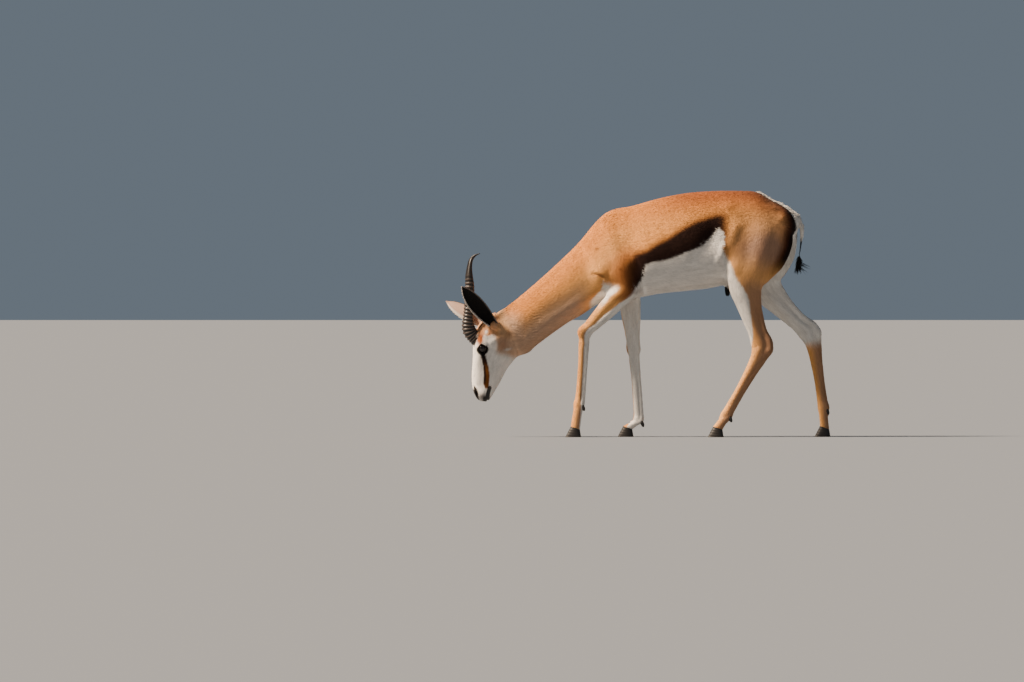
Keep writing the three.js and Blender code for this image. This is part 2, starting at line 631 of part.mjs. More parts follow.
const springbok = new THREE.Group();
for (const [name, body] of Object.entries(fleshNodes())) {
  springbok.add(mesh(name, body, name === "head" ? WHITE : TAN, 0.9));
}
springbok.add(mesh("tail", largest(tail()), WHITE, 0.9));
springbok.add(mesh("tail_tuft", tailTuft(), HORN_BLACK, 0.8));
springbok.add(mesh("sheath", sheath(), HORN_BLACK, 0.8));
for (const [place, side] of [["left", -1], ["right", 1]]) {
  springbok.add(mesh(`horn_${place}`, largest(horn(side)), HORN_BLACK, 0.45));
  springbok.add(mesh(`ear_${place}`, largest(ear(EARS[`ear_${place}`])), EAR_GREY, 0.9));
  springbok.add(mesh(`eye_${place}`, eye(side), RUFOUS, 0.15));
}
for (const [name, leg] of Object.entries(LEGS)) {
  const foot = name.replace("leg_", "");
  for (const [place, toe] of [["inner", -leg.side], ["outer", leg.side]]) {
    springbok.add(mesh(`hoof_${foot}_${place}`, hoof(leg, toe), HOOF_BLACK, 0.5));
    springbok.add(mesh(`dewclaw_${foot}_${place}`, largest(dewclaw(leg, toe)), HOOF_BLACK, 0.5));
  }
}

const box = new THREE.Box3().setFromObject(springbok);
springbok.position.set(-(box.min.x + box.max.x) / 2, -(box.min.y + box.max.y) / 2, -box.min.z);

export default springbok;
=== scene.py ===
"""A grazing springbok ram, life size, with its short coat, on a pale studio floor."""

import math

import bpy
import numpy as np
from bpy.props import FloatProperty, FloatVectorProperty, IntProperty, PointerProperty
from bpy.types import Operator, Panel, PropertyGroup
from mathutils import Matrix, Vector


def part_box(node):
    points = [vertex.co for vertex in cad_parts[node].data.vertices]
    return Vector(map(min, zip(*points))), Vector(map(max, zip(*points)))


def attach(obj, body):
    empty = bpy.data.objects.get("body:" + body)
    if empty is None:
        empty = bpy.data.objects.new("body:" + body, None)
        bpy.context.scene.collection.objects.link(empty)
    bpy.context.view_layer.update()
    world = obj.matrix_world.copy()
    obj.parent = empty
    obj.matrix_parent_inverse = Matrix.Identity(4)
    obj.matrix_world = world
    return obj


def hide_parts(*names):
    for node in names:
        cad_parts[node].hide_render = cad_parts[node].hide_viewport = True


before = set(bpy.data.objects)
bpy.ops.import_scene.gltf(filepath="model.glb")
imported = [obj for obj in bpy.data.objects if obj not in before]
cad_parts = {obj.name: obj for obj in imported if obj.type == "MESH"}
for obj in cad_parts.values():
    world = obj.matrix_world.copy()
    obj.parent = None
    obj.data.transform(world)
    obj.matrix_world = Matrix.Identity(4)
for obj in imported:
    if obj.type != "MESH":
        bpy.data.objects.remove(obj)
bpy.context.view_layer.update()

bl_info = {
    "name": "Springbok",
    "version": (1, 0, 0),
    "blender": (4, 5, 0),
    "location": "3D View > Sidebar > Springbok",
    "description": "A grazing springbok ram, life size, with its short coat",
    "category": "Object",
}

# Lengths are millimetres in the frame of the drawing. Pieces are put into metres as their meshes are made.
MM = 0.001
VOXEL = 2.0
SKIN_TRIANGLES = 186000
BAKE_PATCH = 0.003
PATCH_CORNERS = 4
TUFT_LENGTH = 11.5  # on the side of the body
# Rounds of smoothing: the whole skin, then the neck and trunk, the joins, and once more after the relief.
SKIN_ROUNDS, BODY_ROUNDS, JOIN_ROUNDS, RELIEF_ROUNDS = 16, 46, 170, 2
# The camera of the photograph: its lens, its x in the drawing, and in metres how far off and how high it
# stands and how high it looks.
CAMERA_LENS, CAMERA_X, CAMERA_BACK, CAMERA_UP, LOOK_UP = 400, -428.8, 38.57, 0.498, 0.3254
FLOOR_HALF = 150.0

# The trunk and neck, head end first.
# Each row: top x, top z, bottom x, bottom z, half width, place of the widest line, top power, bottom power.
TRUNK = [
    [-496, 404, -450, 330, 26, 0.5, 2, 2],
    [-478, 426, -424, 276, 42, 0.45, 2, 2],
    [-448, 443, -385, 277, 46, 0.45, 2, 2],
    [-405, 477, -337, 315, 46, 0.45, 2, 2],
    [-335, 537, -250, 378, 48, 0.44, 2, 2],
    [-266, 600, -192, 412, 56, 0.44, 1.9, 2],
    [-200, 665, -150, 440, 68, 0.42, 1.8, 2],
    [-140, 737, -115, 456, 79, 0.4, 1.6, 2.1],
    [-92, 772, -82, 460, 86, 0.4, 1.55, 2.2],
    [-20, 787, -20, 465, 93, 0.42, 1.6, 2.2],
    [68, 811, 68, 483, 102, 0.44, 1.8, 2.2],
    [160, 829, 160, 493, 107, 0.45, 2, 2.2],
    [250, 836, 250, 504, 103, 0.47, 2.1, 2.2],
    [330, 837, 328, 526, 94, 0.52, 2.2, 2.1],
    [398, 833, 392, 560, 88, 0.56, 2.2, 2],
    [452, 806, 436, 590, 82, 0.56, 2.1, 2],
    [503, 783, 476, 612, 70, 0.55, 2, 2],
    [534, 755, 506, 645, 52, 0.5, 2, 2],
    [546, 728, 530, 680, 26, 0.5, 2, 2],
]

# The head, poll first, with the same columns: the forehead is the top and the jaw is the bottom.
HEAD = [
    [-494, 420, -452, 392, 20, 0.5, 2, 2],
    [-520, 408, -424, 334, 40, 0.5, 2.1, 2],
    [-545, 376, -404, 300, 47, 0.58, 2.7, 1.9],
    [-558, 340, -405, 280, 50, 0.66, 3.2, 1.7],
    [-561, 308, -417, 259, 51, 0.68, 3.2, 1.6],
    [-562, 275, -437, 241, 46, 0.62, 2.5, 1.6],
    [-564, 240, -453, 216, 38, 0.55, 2, 1.7],
    [-566, 207, -466, 190, 30, 0.52, 1.9, 1.8],
    [-565, 180, -479, 168, 26, 0.52, 2, 1.9],
    [-561, 158, -489, 151, 24, 0.54, 2.5, 2],
    [-554, 141, -498, 137, 23.5, 0.54, 2.7, 2.1],
    [-546, 129, -506, 127, 19, 0.52, 2.5, 2.1],
    [-535, 122, -518, 121, 9, 0.5, 2, 2],
]
HEAD_PIVOT = np.array([-470.0, 0.0, 0.0])
HEAD_TURN = 3.0  # degrees that the face turns towards the animal's left
HEAD_CUT = [[-470, 435], [-402, 262]]  # from the nape to behind the jaw

# Girth of a leg. Each row: bone, share of the way along it, reach in front, reach behind, half width.
FORE_GIRTH = [
    [0, 0, 26, 26, 14],
    [0, 0.15, 46, 42, 20],
    [0, 0.45, 68, 64, 31],
    [0, 0.75, 72, 62, 33],
    [1, 0, 47, 42, 28],
    [1, 0.25, 42, 36, 25],
    [1, 0.5, 33, 33, 21],
    [1, 0.78, 23, 28, 17],
    [2, 0, 18, 27, 17],
    [2, 0.14, 15, 23, 14],
    [2, 0.45, 11.5, 22, 11.5],
    [2, 0.85, 12.5, 21.5, 12],
    [3, 0, 17, 19, 16],
    [3, 0.42, 14, 15, 17],
]
HIND_GIRTH = [
    [0, -0.32, 60, 50, 20],
    [0, -0.14, 98, 102, 34],
    [0, 0.12, 112, 132, 45],
    [0, 0.5, 92, 128, 47],
    [0, 0.82, 60, 100, 42],
    [1, 0.05, 40, 82, 34],
    [1, 0.25, 35, 62, 28],
    [1, 0.5, 30, 45, 22],
    [1, 0.76, 27, 37, 18],
    [1, 0.93, 32, 43, 17],
    [2, 0.02, 33, 38, 17],
    [2, 0.14, 21.5, 34, 15.5],
    [2, 0.32, 16, 28, 13],
    [2, 0.62, 13.5, 22, 12],
    [2, 0.88, 16, 20, 13],
    [3, 0, 18, 21, 17],
    [3, 0.42, 15, 17, 17.5],
]
FORE = {"girth": FORE_GIRTH, "top": [-64, 700], "outward": [48, 66, 58, 53, 53]}
HIND = {"girth": HIND_GIRTH, "top": [408, 724], "outward": [47, 63, 58, 55, 55]}
LEGS = {
    "front_left": {**FORE, "side": -1, "bones": [201, 208, 243], "lean": [-7.5, 45.7, 3.8], "foot": 11},
    "front_right": {**FORE, "side": 1, "bones": [196, 208, 243], "lean": [-10.7, -2, -4.5], "foot": 34},
    "hind_left": {**HIND, "side": -1, "bones": [218, 230, 258], "lean": [19, -20.3, 28], "foot": 27},
    "hind_right": {**HIND, "side": 1, "bones": [218, 239, 252], "lean": [1, -48.4, -10.1], "foot": -6},
}
HOOF_HEIGHT = 36
HOOF_LENGTH = 54
DIGIT_SPREAD = 12.5
CORONET_FRONT, CORONET_HEEL, CORONET_HALF = 16, 15, 10.6

# Where a leg is told from the trunk in the side view, and from how far out.
FORE_REGION = [
    [-330, -10], [-330, 300], [-232, 372], [-198, 393], [-164, 425], [-130, 455], [-123, 520], [-114, 580],
    [-90, 622], [-50, 636], [-12, 615], [8, 560], [14, 500], [40, 452], [150, 430], [150, -10],
]
HIND_REGION = [
    [180, -10], [180, 450], [318, 486], [308, 525], [299, 549], [288, 593], [280, 640], [296, 692],
    [340, 730], [405, 746], [468, 732], [514, 690], [560, 650], [640, 560], [720, 480], [720, -10],
]
# Nearest to the middle plane that a leg reaches: at and below the first height, and at and above the second.
INNER = {"front": [440, 480, 0, 17], "hind": [500, 590, 0, 8]}

EYE = np.array([-532.0, 38.5, 299.5])
EYE_RADIUS = 15.0
EYE_SLOPE = -1.35  # of the slit between the lids, in radians from straight back
LID_LENGTH, LID_HEIGHT = 33.0, 23.0
ORBIT_PLACE = np.array([3.0, -6.0, 4.0])  # from the eye's middle, with y outwards
ORBIT_RADII = np.array([27.0, 24.0, 34.0])
NOSTRIL = np.array([-551.0, 17.0, 147.0])
MOUTH_LINE = [[-513, 115], [-513, 130], [-511, 150], [-506, 166]]

HORN_LINE = [
    [-540, 20, 326], [-558, 23, 341], [-572, 27.5, 358], [-577.5, 32, 379], [-577.5, 36, 402],
    [-575.5, 41, 435], [-573.5, 45.5, 475], [-572.5, 48, 512], [-574.5, 47.5, 546], [-573, 44, 576],
    [-568, 38.5, 600], [-556, 32, 614], [-539, 27, 622],
]
HORN_DEPTH = [24, 22.8, 20.2, 15.6, 14.6, 14.2, 13.6, 11, 7, 4.8, 1.2]
HORN_FLATNESS = 0.76
RINGS_FROM, RINGS_TO = 0.04, 0.72

EAR_ROOT = np.array([-490.0, 38.0, 376.0])
EARS = {
    "left": {"side": -1, "along": [-115, 63, 135], "open": [-0.3, 1, 0]},
    "right": {"side": 1, "along": [-159, 54, 85], "open": [0.03, 0.87, -0.5]},
}
EAR_LENGTH, EAR_WALL, EAR_BOW = 188, 2.2, 9
EAR_WIDTHS = [16, 20, 24.5, 27, 27, 23.5, 15.5, 1.6]
EAR_CURLS = [105, 98, 86, 76, 68, 60, 52, 45]  # half of the arc, in degrees

TAIL_LINE = [
    [516, 0, 756], [537, 0, 750], [550, 0, 726], [554, 2, 692], [551, 1, 662], [547, 0, 634], [544, 0, 606],
]
TAIL_HALVES = [
    [0, 12, 0.8], [0.1, 12, 0.8], [0.25, 11, 0.85], [0.45, 9.5, 0.95], [0.6, 7, 1], [0.75, 5, 1],
    [0.9, 4.5, 1], [1, 4, 1],
]

# Forms under the skin of the body in the side view.
# Each row: x, z, reach along x, reach along z, tilt in degrees, height.
BODY_SWELLS = [
    [-128, 556, 30, 36, 0, 8.0],  # point of the shoulder
    [-106, 690, 26, 85, 12, 3.6],  # shoulder blade
    [-66, 690, 18, 72, 10, -1.6],  # its rear edge
    [-26, 668, 32, 70, 4, -4.5],  # behind the shoulder blade
    [-62, 588, 34, 40, 20, 7.0],  # back of the upper arm
    [-8, 566, 20, 46, -8, -3.5],  # behind the upper arm
    [-100, 606, 18, 48, 14, -2.4],  # between the blade and the upper arm
    [-172, 545, 24, 66, 24, -4.5],  # before the shoulder
    [-196, 640, 16, 70, 32, -3.5],
    [-232, 560, 34, 46, 35, 3.5],  # base of the neck
    [-150, 486, 24, 20, 0, 4.0],  # breast
    [-386, 296, 28, 18, 40, -3.0],  # throat
    [246, 672, 32, 46, -8, -9.0],  # hollow of the flank
    [200, 610, 26, 50, -25, -3.0],
    [304, 782, 24, 15, -10, 5.5],  # point of the hip
    [340, 740, 26, 20, 0, -3.0],
    [322, 676, 22, 70, -10, 6.5],  # front of the thigh
    [366, 640, 22, 85, -6, -3.2],  # along the thigh
    [418, 650, 30, 80, -5, 6.0],  # back of the thigh
    [470, 640, 18, 66, 2, -2.6],
    [486, 752, 16, 26, -30, 4.0],  # point of the seat
    [314, 574, 20, 24, 0, 5.5],  # stifle
    [60, 650, 60, 52, 0, 3.0],  # ribs
    [150, 655, 52, 58, 0, 3.0],
]
# Where the head and the legs run into the trunk: x, z, reach along x, reach along z, tilt in degrees.
JOINS = [
    [-432, 335, 38, 105, 20],
    [-60, 492, 95, 34, 0],
    [322, 560, 60, 70, 0],
    [536, 742, 26, 22, 0],
]
# Long forms of the body: points in the side view, width, height.
BODY_STROKES = [
    [[-392, 350], [-300, 424], [-200, 492], 22, -2.4],  # groove along the neck
    [[-410, 398], [-300, 486], [-222, 580], 26, 1.6],
    [[-330, 384], [-262, 420], [-205, 462], 16, 1.2],
    [[286, 646], [262, 592], [304, 540], 11, 4.0],  # fold from the flank to the stifle
    [[-158, 552], [-141, 548], [-124, 538], 5, -3.0],  # crease at the point of the shoulder
    [[34, 700], [52, 640], [88, 590], 13, -0.8],  # ribs
    [[80, 712], [101, 652], [136, 603], 13, -0.8],
    [[128, 722], [150, 664], [182, 618], 13, -0.8],
]
# Forms of a leg: row of its girth, share from back (-1) to front (1), reach along, reach across, height.
FORE_SWELLS = [
    [4.0, -0.85, 0.5, 0.3, 5.5],  # point of the elbow
    [4.9, -0.5, 0.7, 0.2, -2.5],
    [5.4, 0.45, 1.2, 0.3, 3.0],
    [5.8, -0.15, 1.4, 0.16, -2.8],
    [6.0, -0.6, 1.2, 0.22, 1.4],
    [8.0, 0.7, 0.4, 0.5, 3.0],  # knee
    [7.4, 0.6, 0.25, 0.5, -1.4],
    [8.75, 0.6, 0.3, 0.5, -1.4],
    [8.1, -0.9, 0.35, 0.3, 2.6],
    [10.2, -0.25, 1.5, 0.2, -2.8],  # groove before the tendons
    [12.0, -0.6, 0.35, 0.4, 2.4],
    [12.0, 0.6, 0.3, 0.4, 1.2],
]
HIND_SWELLS = [
    [6.3, 0.15, 1.5, 0.3, 3.6],
    [7.9, -0.42, 1.5, 0.22, -6.0],  # hollow before the hamstring
    [7.6, -0.85, 1.6, 0.2, 1.8],
    [9.9, -0.85, 0.4, 0.3, 3.2],  # point of the hock
    [9.6, -0.2, 0.6, 0.2, -2.4],
    [10.3, 0.4, 0.6, 0.3, 2.4],
    [12.6, -0.25, 1.6, 0.2, -2.8],
    [15.0, -0.6, 0.4, 0.4, 2.2],
    [15.0, 0.6, 0.3, 0.4, 1.0],
]
# Forms of the head in its own side view, as for the body.
HEAD_SWELLS = [
    [-450, 300, 24, 30, 20, 4.0],  # cheek
    [-474, 334, 34, 8, 25, 3.5],  # arch behind the eye
    [-484, 356, 18, 12, 25, -3.0],  # hollow over it
    [-500, 268, 16, 30, 10, -4.0],  # before the cheek
    [-520, 296, 7, 10, 0, -2.5],  # corner of the eye
    [-548, 262, 9, 30, 0, 1.8],
    [-530, 226, 12, 26, 5, -2.0],  # along the face
    [-505, 214, 12, 30, 8, 1.6],
    [-528, 150, 15, 12, 0, 3.0],  # upper lip
    [-498, 148, 9, 16, 0, 2.0],
    [-536, 178, 12, 14, 0, -1.6],
    [-545, 322, 9, 14, 0, 2.0],  # brow
]

# Lines of the markings in the side view.
STRIPE_TOP = [[-60, 560], [-12, 624], [22, 634], [56, 658], [90, 675], [124, 698], [158, 719], [192, 736],
              [225, 746], [259, 756], [283, 756]]
BELLY_LINE = [[-200, 430], [-164, 464], [-141, 488], [-114, 508], [-100, 500], [-66, 470], [-8, 470],
              [5, 532], [18, 583], [39, 593], [73, 597], [107, 607], [141, 620], [175, 634], [208, 648],
              [236, 675], [249, 692], [266, 712], [284, 690], [292, 640], [310, 560], [340, 480]]
RUMP_LINE = [[430, 520], [457, 549], [486, 576], [510, 607], [527, 648], [536, 698], [537, 749], [514, 776],
             [505, 800]]  # x, z
# The front edge of the white behind the elbow; the darker colour ahead of it is partly dark hair and partly
# painted shade.
ELBOW_LINE = [[-114, 417], [-90, 437], [-66, 451], [-49, 468], [-37, 481], [-22, 492], [-8, 515], [5, 532],
              [14, 558], [18, 583], [18, 600]]
CREST_HALF = [[395, 3], [430, 9], [470, 17], [510, 30], [545, 40]]  # x, half width of the white strip
TEAR_STRIPE = [[-534, 290, 6], [-527, 264, 7], [-520, 238, 7.5], [-517, 208, 9], [-518, 178, 8.5],
               [-515, 162, 4]]  # x, z, half width
# Along a leg's rows, the share from back to front behind which a foreleg is white, and in front of which a
# hind leg is white.
FORE_WHITE = [[3.6, -1.3], [4.1, -0.6], [4.6, -0.45], [5.1, -0.42], [5.6, -0.3], [6.1, -0.22], [6.9, -0.2],
              [7.7, -0.12], [8.4, -0.1], [9.6, -0.1], [10.5, -0.1], [11.8, -0.3], [13, -0.7]]
HIND_WHITE = [[2.5, 1.15], [3.2, 1.0], [3.6, 0.74], [4.3, 0.42], [4.9, 0.14], [5.5, -0.04], [6.2, -0.06],
              [6.9, 0.08], [7.7, 0.4], [8.6, 0.85], [9.8, 1.2]]


def rise(value, low, high):
    """0 below low, 1 above high, and an S curve between."""
    t = np.clip((value - low) / (high - low), 0, 1)
    return t * t * (3 - 2 * t)


def mix(a, b, share):
    """a where share is 0, b where it is 1."""
    return a + (b - a) * share[..., None]


def unit(v):
    """Arrows made 1 long."""
    return v / np.maximum(np.linalg.norm(v, axis=-1, keepdims=True), 1e-9)


def linear(colour):
    """A screen colour as light."""
    c = np.asarray(colour, float)
    return np.where(c <= 0.04045, c / 12.92, ((c + 0.055) / 1.055) ** 2.4)


def rows_at(rows, t):
    """Rows of numbers read between their places by a Catmull-Rom curve; row i is met at t = i."""
    rows = np.asarray(rows, float)
    if rows.ndim == 1:
        rows = rows[:, None]
    t = np.asarray(t, float)
    last = len(rows) - 1
    i = np.clip(np.floor(t).astype(int), 0, last - 1)
    f = (t - i)[..., None]
    a, b = rows[np.maximum(i - 1, 0)], rows[i]
    c, d = rows[i + 1], rows[np.minimum(i + 2, last)]
    return b + 0.5 * f * (c - a + f * (2 * a - 5 * b + 4 * c - d + f * (3 * (b - c) + d - a)))


def finer(rows, per_span):
    """The rows with more between them."""
    last = len(rows) - 1
    return rows_at(rows, np.linspace(0, last, last * per_span + 1))


def read_line(table, at):
    """The second column of a table, read between the places in its first."""
    return np.interp(at, *np.array(table, float).T)


def polyline_distance(points, line):
    """Shortest distance in a plane from points to a line of straight runs."""
    line = np.asarray(line, float)
    best = np.full(len(points), 1e9)
    for a, b in zip(line[:-1], line[1:]):
        run = b - a
        t = np.clip(((points - a) @ run) / (run @ run), 0, 1)
        best = np.minimum(best, np.linalg.norm(points - a - t[:, None] * run, axis=1))
    return best


def inside(points, outline):
    """Whether points lie in a closed outline, by counting the edges to their right."""
    found = np.zeros(len(points), bool)
    x, z = points.T
    for (ax, az), (bx, bz) in zip(outline, outline[1:] + outline[:1]):
        if az == bz:
            continue
        crosses = (az > z) != (bz > z)
        found ^= crosses & (x < (bx - ax) * (z - az) / (bz - az) + ax)
    return found


def spun(points, degrees):
    """Points turned about the plumb line of the neck."""
    a = math.radians(degrees)
    turn = np.array([[math.cos(a), math.sin(a), 0], [-math.sin(a), math.cos(a), 0], [0, 0, 1]])
    return (np.asarray(points, float) - HEAD_PIVOT) @ turn + HEAD_PIVOT


def head_turned(points):
    """From the head's own straight frame to its place."""
    return spun(points, HEAD_TURN)


def head_straight(points):
    """From its place to the head's own straight frame."""
    return spun(points, -HEAD_TURN)


def head_way(ways):
    """Directions from the head's own straight frame as they are in its place."""
    return head_turned(ways + HEAD_PIVOT) - HEAD_PIVOT


def eye_place(side):
    """The middle of an eye."""
    return head_turned(EYE * [1, side, 1])


def drawing_shift():
    """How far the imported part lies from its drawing, read from an eye's box."""
    low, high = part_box("eye_left")
    return np.array((low + high) / 2) / MM - eye_place(-1)


SHIFT = drawing_shift()


def outward(points, faces):
    """Faces turned outwards: all are turned round where the volume they enclose is negative."""
    a, b, c = (points[faces[:, k]] for k in range(3))
    volume = np.einsum("ij,ij->", a, np.cross(b, c))
    return points, faces[:, ::-1] if volume < 0 else faces


def grid_faces(rows, columns):
    """Triangles between neighbouring places of a grid whose last column meets its first."""
    r, s = np.meshgrid(np.arange(rows - 1), np.arange(columns), indexing="ij")
    a = r * columns + s
    b = r * columns + (s + 1) % columns
    first = np.stack([a, b, a + columns], -1).reshape(-1, 3)
    second = np.stack([b, b + columns, a + columns], -1).reshape(-1, 3)
    return np.concatenate([first, second])


def capped(rings):
    """A closed surface: rings of points joined to one another, with a fan over each end."""
    count, sides, _ = rings.shape
    points = np.concatenate([rings.reshape(-1, 3), rings[:1].mean(1), rings[-1:].mean(1)])
    s = np.arange(sides)
    t = (s + 1) % sides
    start = np.stack([t, s, np.full(sides, count * sides)], 1)
    end = np.stack([s + (count - 1) * sides, t + (count - 1) * sides, np.full(sides, count * sides + 1)], 1)
    return outward(points, np.concatenate([grid_faces(count, sides), start, end]))


def with_ends(values):
    """Values on the rings of a closed surface, with those of the first and last point for its two ends."""
    return np.concatenate([values, values[:1], values[-1:]])


def ball(centre, radii, around=32, down=20):
    """An ellipsoid as rings from pole to pole."""
    polar = np.linspace(0, math.pi, down + 2)[1:-1, None]
    turn = np.linspace(0, 2 * math.pi, around, endpoint=False)[None]
    level = np.sin(polar)
    rings = np.stack([level * np.cos(turn), level * np.sin(turn), np.cos(polar) + 0 * turn], -1)
    return capped(rings * np.asarray(radii, float) + np.asarray(centre, float))


def section_rings(rows, sides, grow):
    """Rounded outlines between the two edge points of each row, as powers of the cosine and sine; the same
    outline formula as the solids, moved outwards by grow."""
    rows = np.asarray(rows, float)
    angle = 2 * math.pi * (np.arange(sides) + 0.5) / sides
    a, b = rows[:, None, 0:2], rows[:, None, 2:4]
    width, widest, power_a, power_b = (rows[:, k, None] for k in (4, 5, 6, 7))
    y = rows[:, 8, None] if rows.shape[1] > 8 else np.zeros((len(rows), 1))
    grow = np.broadcast_to(np.asarray(grow, float).reshape(-1, 1), (len(rows), 1))
    length = np.linalg.norm(a - b, axis=-1)
    along = (a - b) / length[..., None]
    middle = b + (a - b) * widest[..., None]
    c, s = np.cos(angle)[None], np.sin(angle)[None]
    power = 2 / np.where(s > 0, power_a, power_b)
    reach = np.where(s > 0, length * (1 - widest), length * widest) + grow
    up = np.sign(s) * np.abs(s) ** power * reach
    out = np.sign(c) * np.abs(c) ** power * (width + grow)
    return np.stack([middle[..., 0] + along[..., 0] * up, y + out, middle[..., 1] + along[..., 1] * up], -1)


def tube_rings(line, stops, halves, flats, sides, ridge=0.0):
    """Rings about a curve: at each stop, half size times cosine to the front and times sine and flatness to
    the side, with a ridge height added to the half size."""
    fine = finer(line, 40)
    steps = np.concatenate([[0], np.cumsum(np.linalg.norm(np.diff(fine, axis=0), axis=1))])
    at = np.asarray(stops, float) * steps[-1]
    centre = np.stack([np.interp(at, steps, fine[:, k]) for k in range(3)], 1)
    ahead = np.stack([np.interp(at + 1, steps, fine[:, k]) for k in range(3)], 1)
    behind = np.stack([np.interp(at - 1, steps, fine[:, k]) for k in range(3)], 1)
    tangent = unit(ahead - behind)
    out = unit(np.array([0, 1, 0]) - tangent * tangent[:, 1:2])
    front = np.cross(tangent, out)
    angle = np.linspace(0, 2 * math.pi, sides, endpoint=False)
    half = np.asarray(halves, float)[:, None] + ridge
    forward = (half * np.cos(angle))[..., None] * front[:, None]
    across = (half * np.asarray(flats, float).reshape(-1, 1) * np.sin(angle))[..., None] * out[:, None]
    return centre[:, None] + forward + across


def leg_joints(leg):
    """Shoulder or hip, elbow or knee, carpus or hock, fetlock and coronet, each bone leaning by its own
    angle."""
    x, z = leg["top"]
    places = [(x, z)]
    for bone, lean in zip(leg["bones"], leg["lean"]):
        x -= bone * math.sin(math.radians(lean))
        z -= bone * math.cos(math.radians(lean))
        places.append((x, z))
    places.append((x - leg["foot"], HOOF_HEIGHT * 0.85))
    return np.array([[px, leg["side"] * out, pz] for (px, pz), out in zip(places, leg["outward"])])


def leg_rows(leg):
    """The sections of a leg, square to the line of its bones."""
    places = leg_joints(leg)
    girth = np.array(leg["girth"], float)
    bone = girth[:, 0].astype(int)
    centres = places[bone] + (places[bone + 1] - places[bone]) * girth[:, 1:2]
    i = np.arange(len(centres))
    run = 0
    for reach in (1, 2):
        step = centres[np.minimum(len(i) - 1, i + reach)] - centres[np.maximum(0, i - reach)]
        run = run + unit(step)
    run = unit(run[:, [0, 2]])
    fx, fz = run[:, 1], -run[:, 0]
    front, back, width = girth[:, 2:].T
    x, y, z = centres.T
    two = np.full(len(x), 2.0)
    columns = [x + fx * front, z + fz * front, x - fx * back, z - fz * back, width, back / (front + back),
               two, two, y]
    return np.stack(columns, 1)


def digit_rows(leg, toe):
    """The sections of a toe above its hoof, from inside the fetlock to the coronet."""
    places = leg_joints(leg)
    fetlock, foot = places[3], places[4]
    y = foot[1] + toe * DIGIT_SPREAD
    end = np.array([foot[0] - CORONET_FRONT, HOOF_HEIGHT, foot[0] + CORONET_HEEL, HOOF_HEIGHT * 0.7,
                    CORONET_HALF, 0.5, 2, 2, y])
    top = np.array([fetlock[0] - 15, fetlock[2] - 2, fetlock[0] + 14, fetlock[2] - 6, 9, 0.5, 2, 2,
                    fetlock[1] + toe * 8])
    start = top + [2, 12, -2, 12, -3, 0, 0, 0, 0]
    middle = (top + end) / 2
    middle[8] = y - toe * 1.5
    return finer([start, top, middle, end], 6)


TRUNK_FINE = finer(TRUNK, 6)
HEAD_FINE = finer(HEAD, 8)
LEG_ROWS = {name: leg_rows(leg) for name, leg in LEGS.items()}
PARTS = ["trunk", "head", "front_left", "front_right", "hind_left", "hind_right", "tail"]
TRUNK_PART, HEAD_PART, FIRST_LEG, LAST_LEG, TAIL_PART = 0, 1, 2, 5, 6
PART_ROWS = {"trunk": TRUNK, "head": HEAD, **LEG_ROWS}


def chart(points, rows):
    """Where points lie in a row of sections: the row, counted along, and the share of the half depth from
    back or bottom (-1) to front or top (1)."""
    rows = np.asarray(rows, float)
    a, b = rows[:, 0:2], rows[:, 2:4]
    middle = (a + b) / 2
    depth = np.linalg.norm(a - b, axis=1)
    along = (a - b) / depth[:, None]
    normal = np.stack([-along[:, 1], along[:, 0]], 1)
    normal *= np.where((normal * np.gradient(middle, axis=0)).sum(1) < 0, -1, 1)[:, None]
    p = points[:, [0, 2]]
    ahead = p @ normal.T - (middle * normal).sum(1)
    across = (p @ along.T - (middle * along).sum(1)) / (depth / 2)
    between = (ahead[:, :-1] >= 0) & (ahead[:, 1:] < 0)
    score = np.where(between, np.abs(across[:, :-1]), 99)
    i = score.argmin(1)
    k = np.arange(len(p))
    f = ahead[k, i] / (ahead[k, i] - ahead[k, i + 1] + 1e-9)
    none = score[k, i] >= 99
    nearest = np.abs(ahead).argmin(1)
    t = np.where(none, nearest, i + np.clip(f, 0, 1))
    low = np.floor(t).astype(int)
    high = np.minimum(low + 1, len(rows) - 1)
    share = t - low
    return t, across[k, low] * (1 - share) + across[k, high] * share


def part_of(points):
    """The part of the body that each point belongs to, as an index into PARTS."""
    x, y, z = points.T
    side_view = points[:, [0, 2]]
    part = np.zeros(len(points), int)
    (ax, az), (bx, bz) = HEAD_CUT
    before = (x - ax) * (bz - az) - (z - az) * (bx - ax) > 0
    part[before & (x < -380)] = HEAD_PART
    for k, name in enumerate(LEGS):
        front = name.startswith("front")
        low, high, below, above = INNER["front" if front else "hind"]
        reach = y * LEGS[name]["side"] > np.interp(z, [low, high], [below, above])
        part[inside(side_view, FORE_REGION if front else HIND_REGION) & reach] = FIRST_LEG + k
    tail = polyline_distance(side_view, np.array(TAIL_LINE)[:, [0, 2]]) < 13
    part[tail & (np.abs(y) < 14) & (x > 534) & (z < 738)] = TAIL_PART
    return part


def swell_heights(p2, swells):
    """The sum of soft bumps in the side view: height times exp of minus the squared distance in its own
    tilted, stretched axes."""
    total = np.zeros(len(p2))
    for x, z, rx, rz, tilt, height in swells:
        a = math.radians(tilt)
        dx, dz = p2[:, 0] - x, p2[:, 1] - z
        u = (dx * math.cos(a) + dz * math.sin(a)) / rx
        v = (dz * math.cos(a) - dx * math.sin(a)) / rz
        total += height * np.exp(-u * u - v * v)
    return total


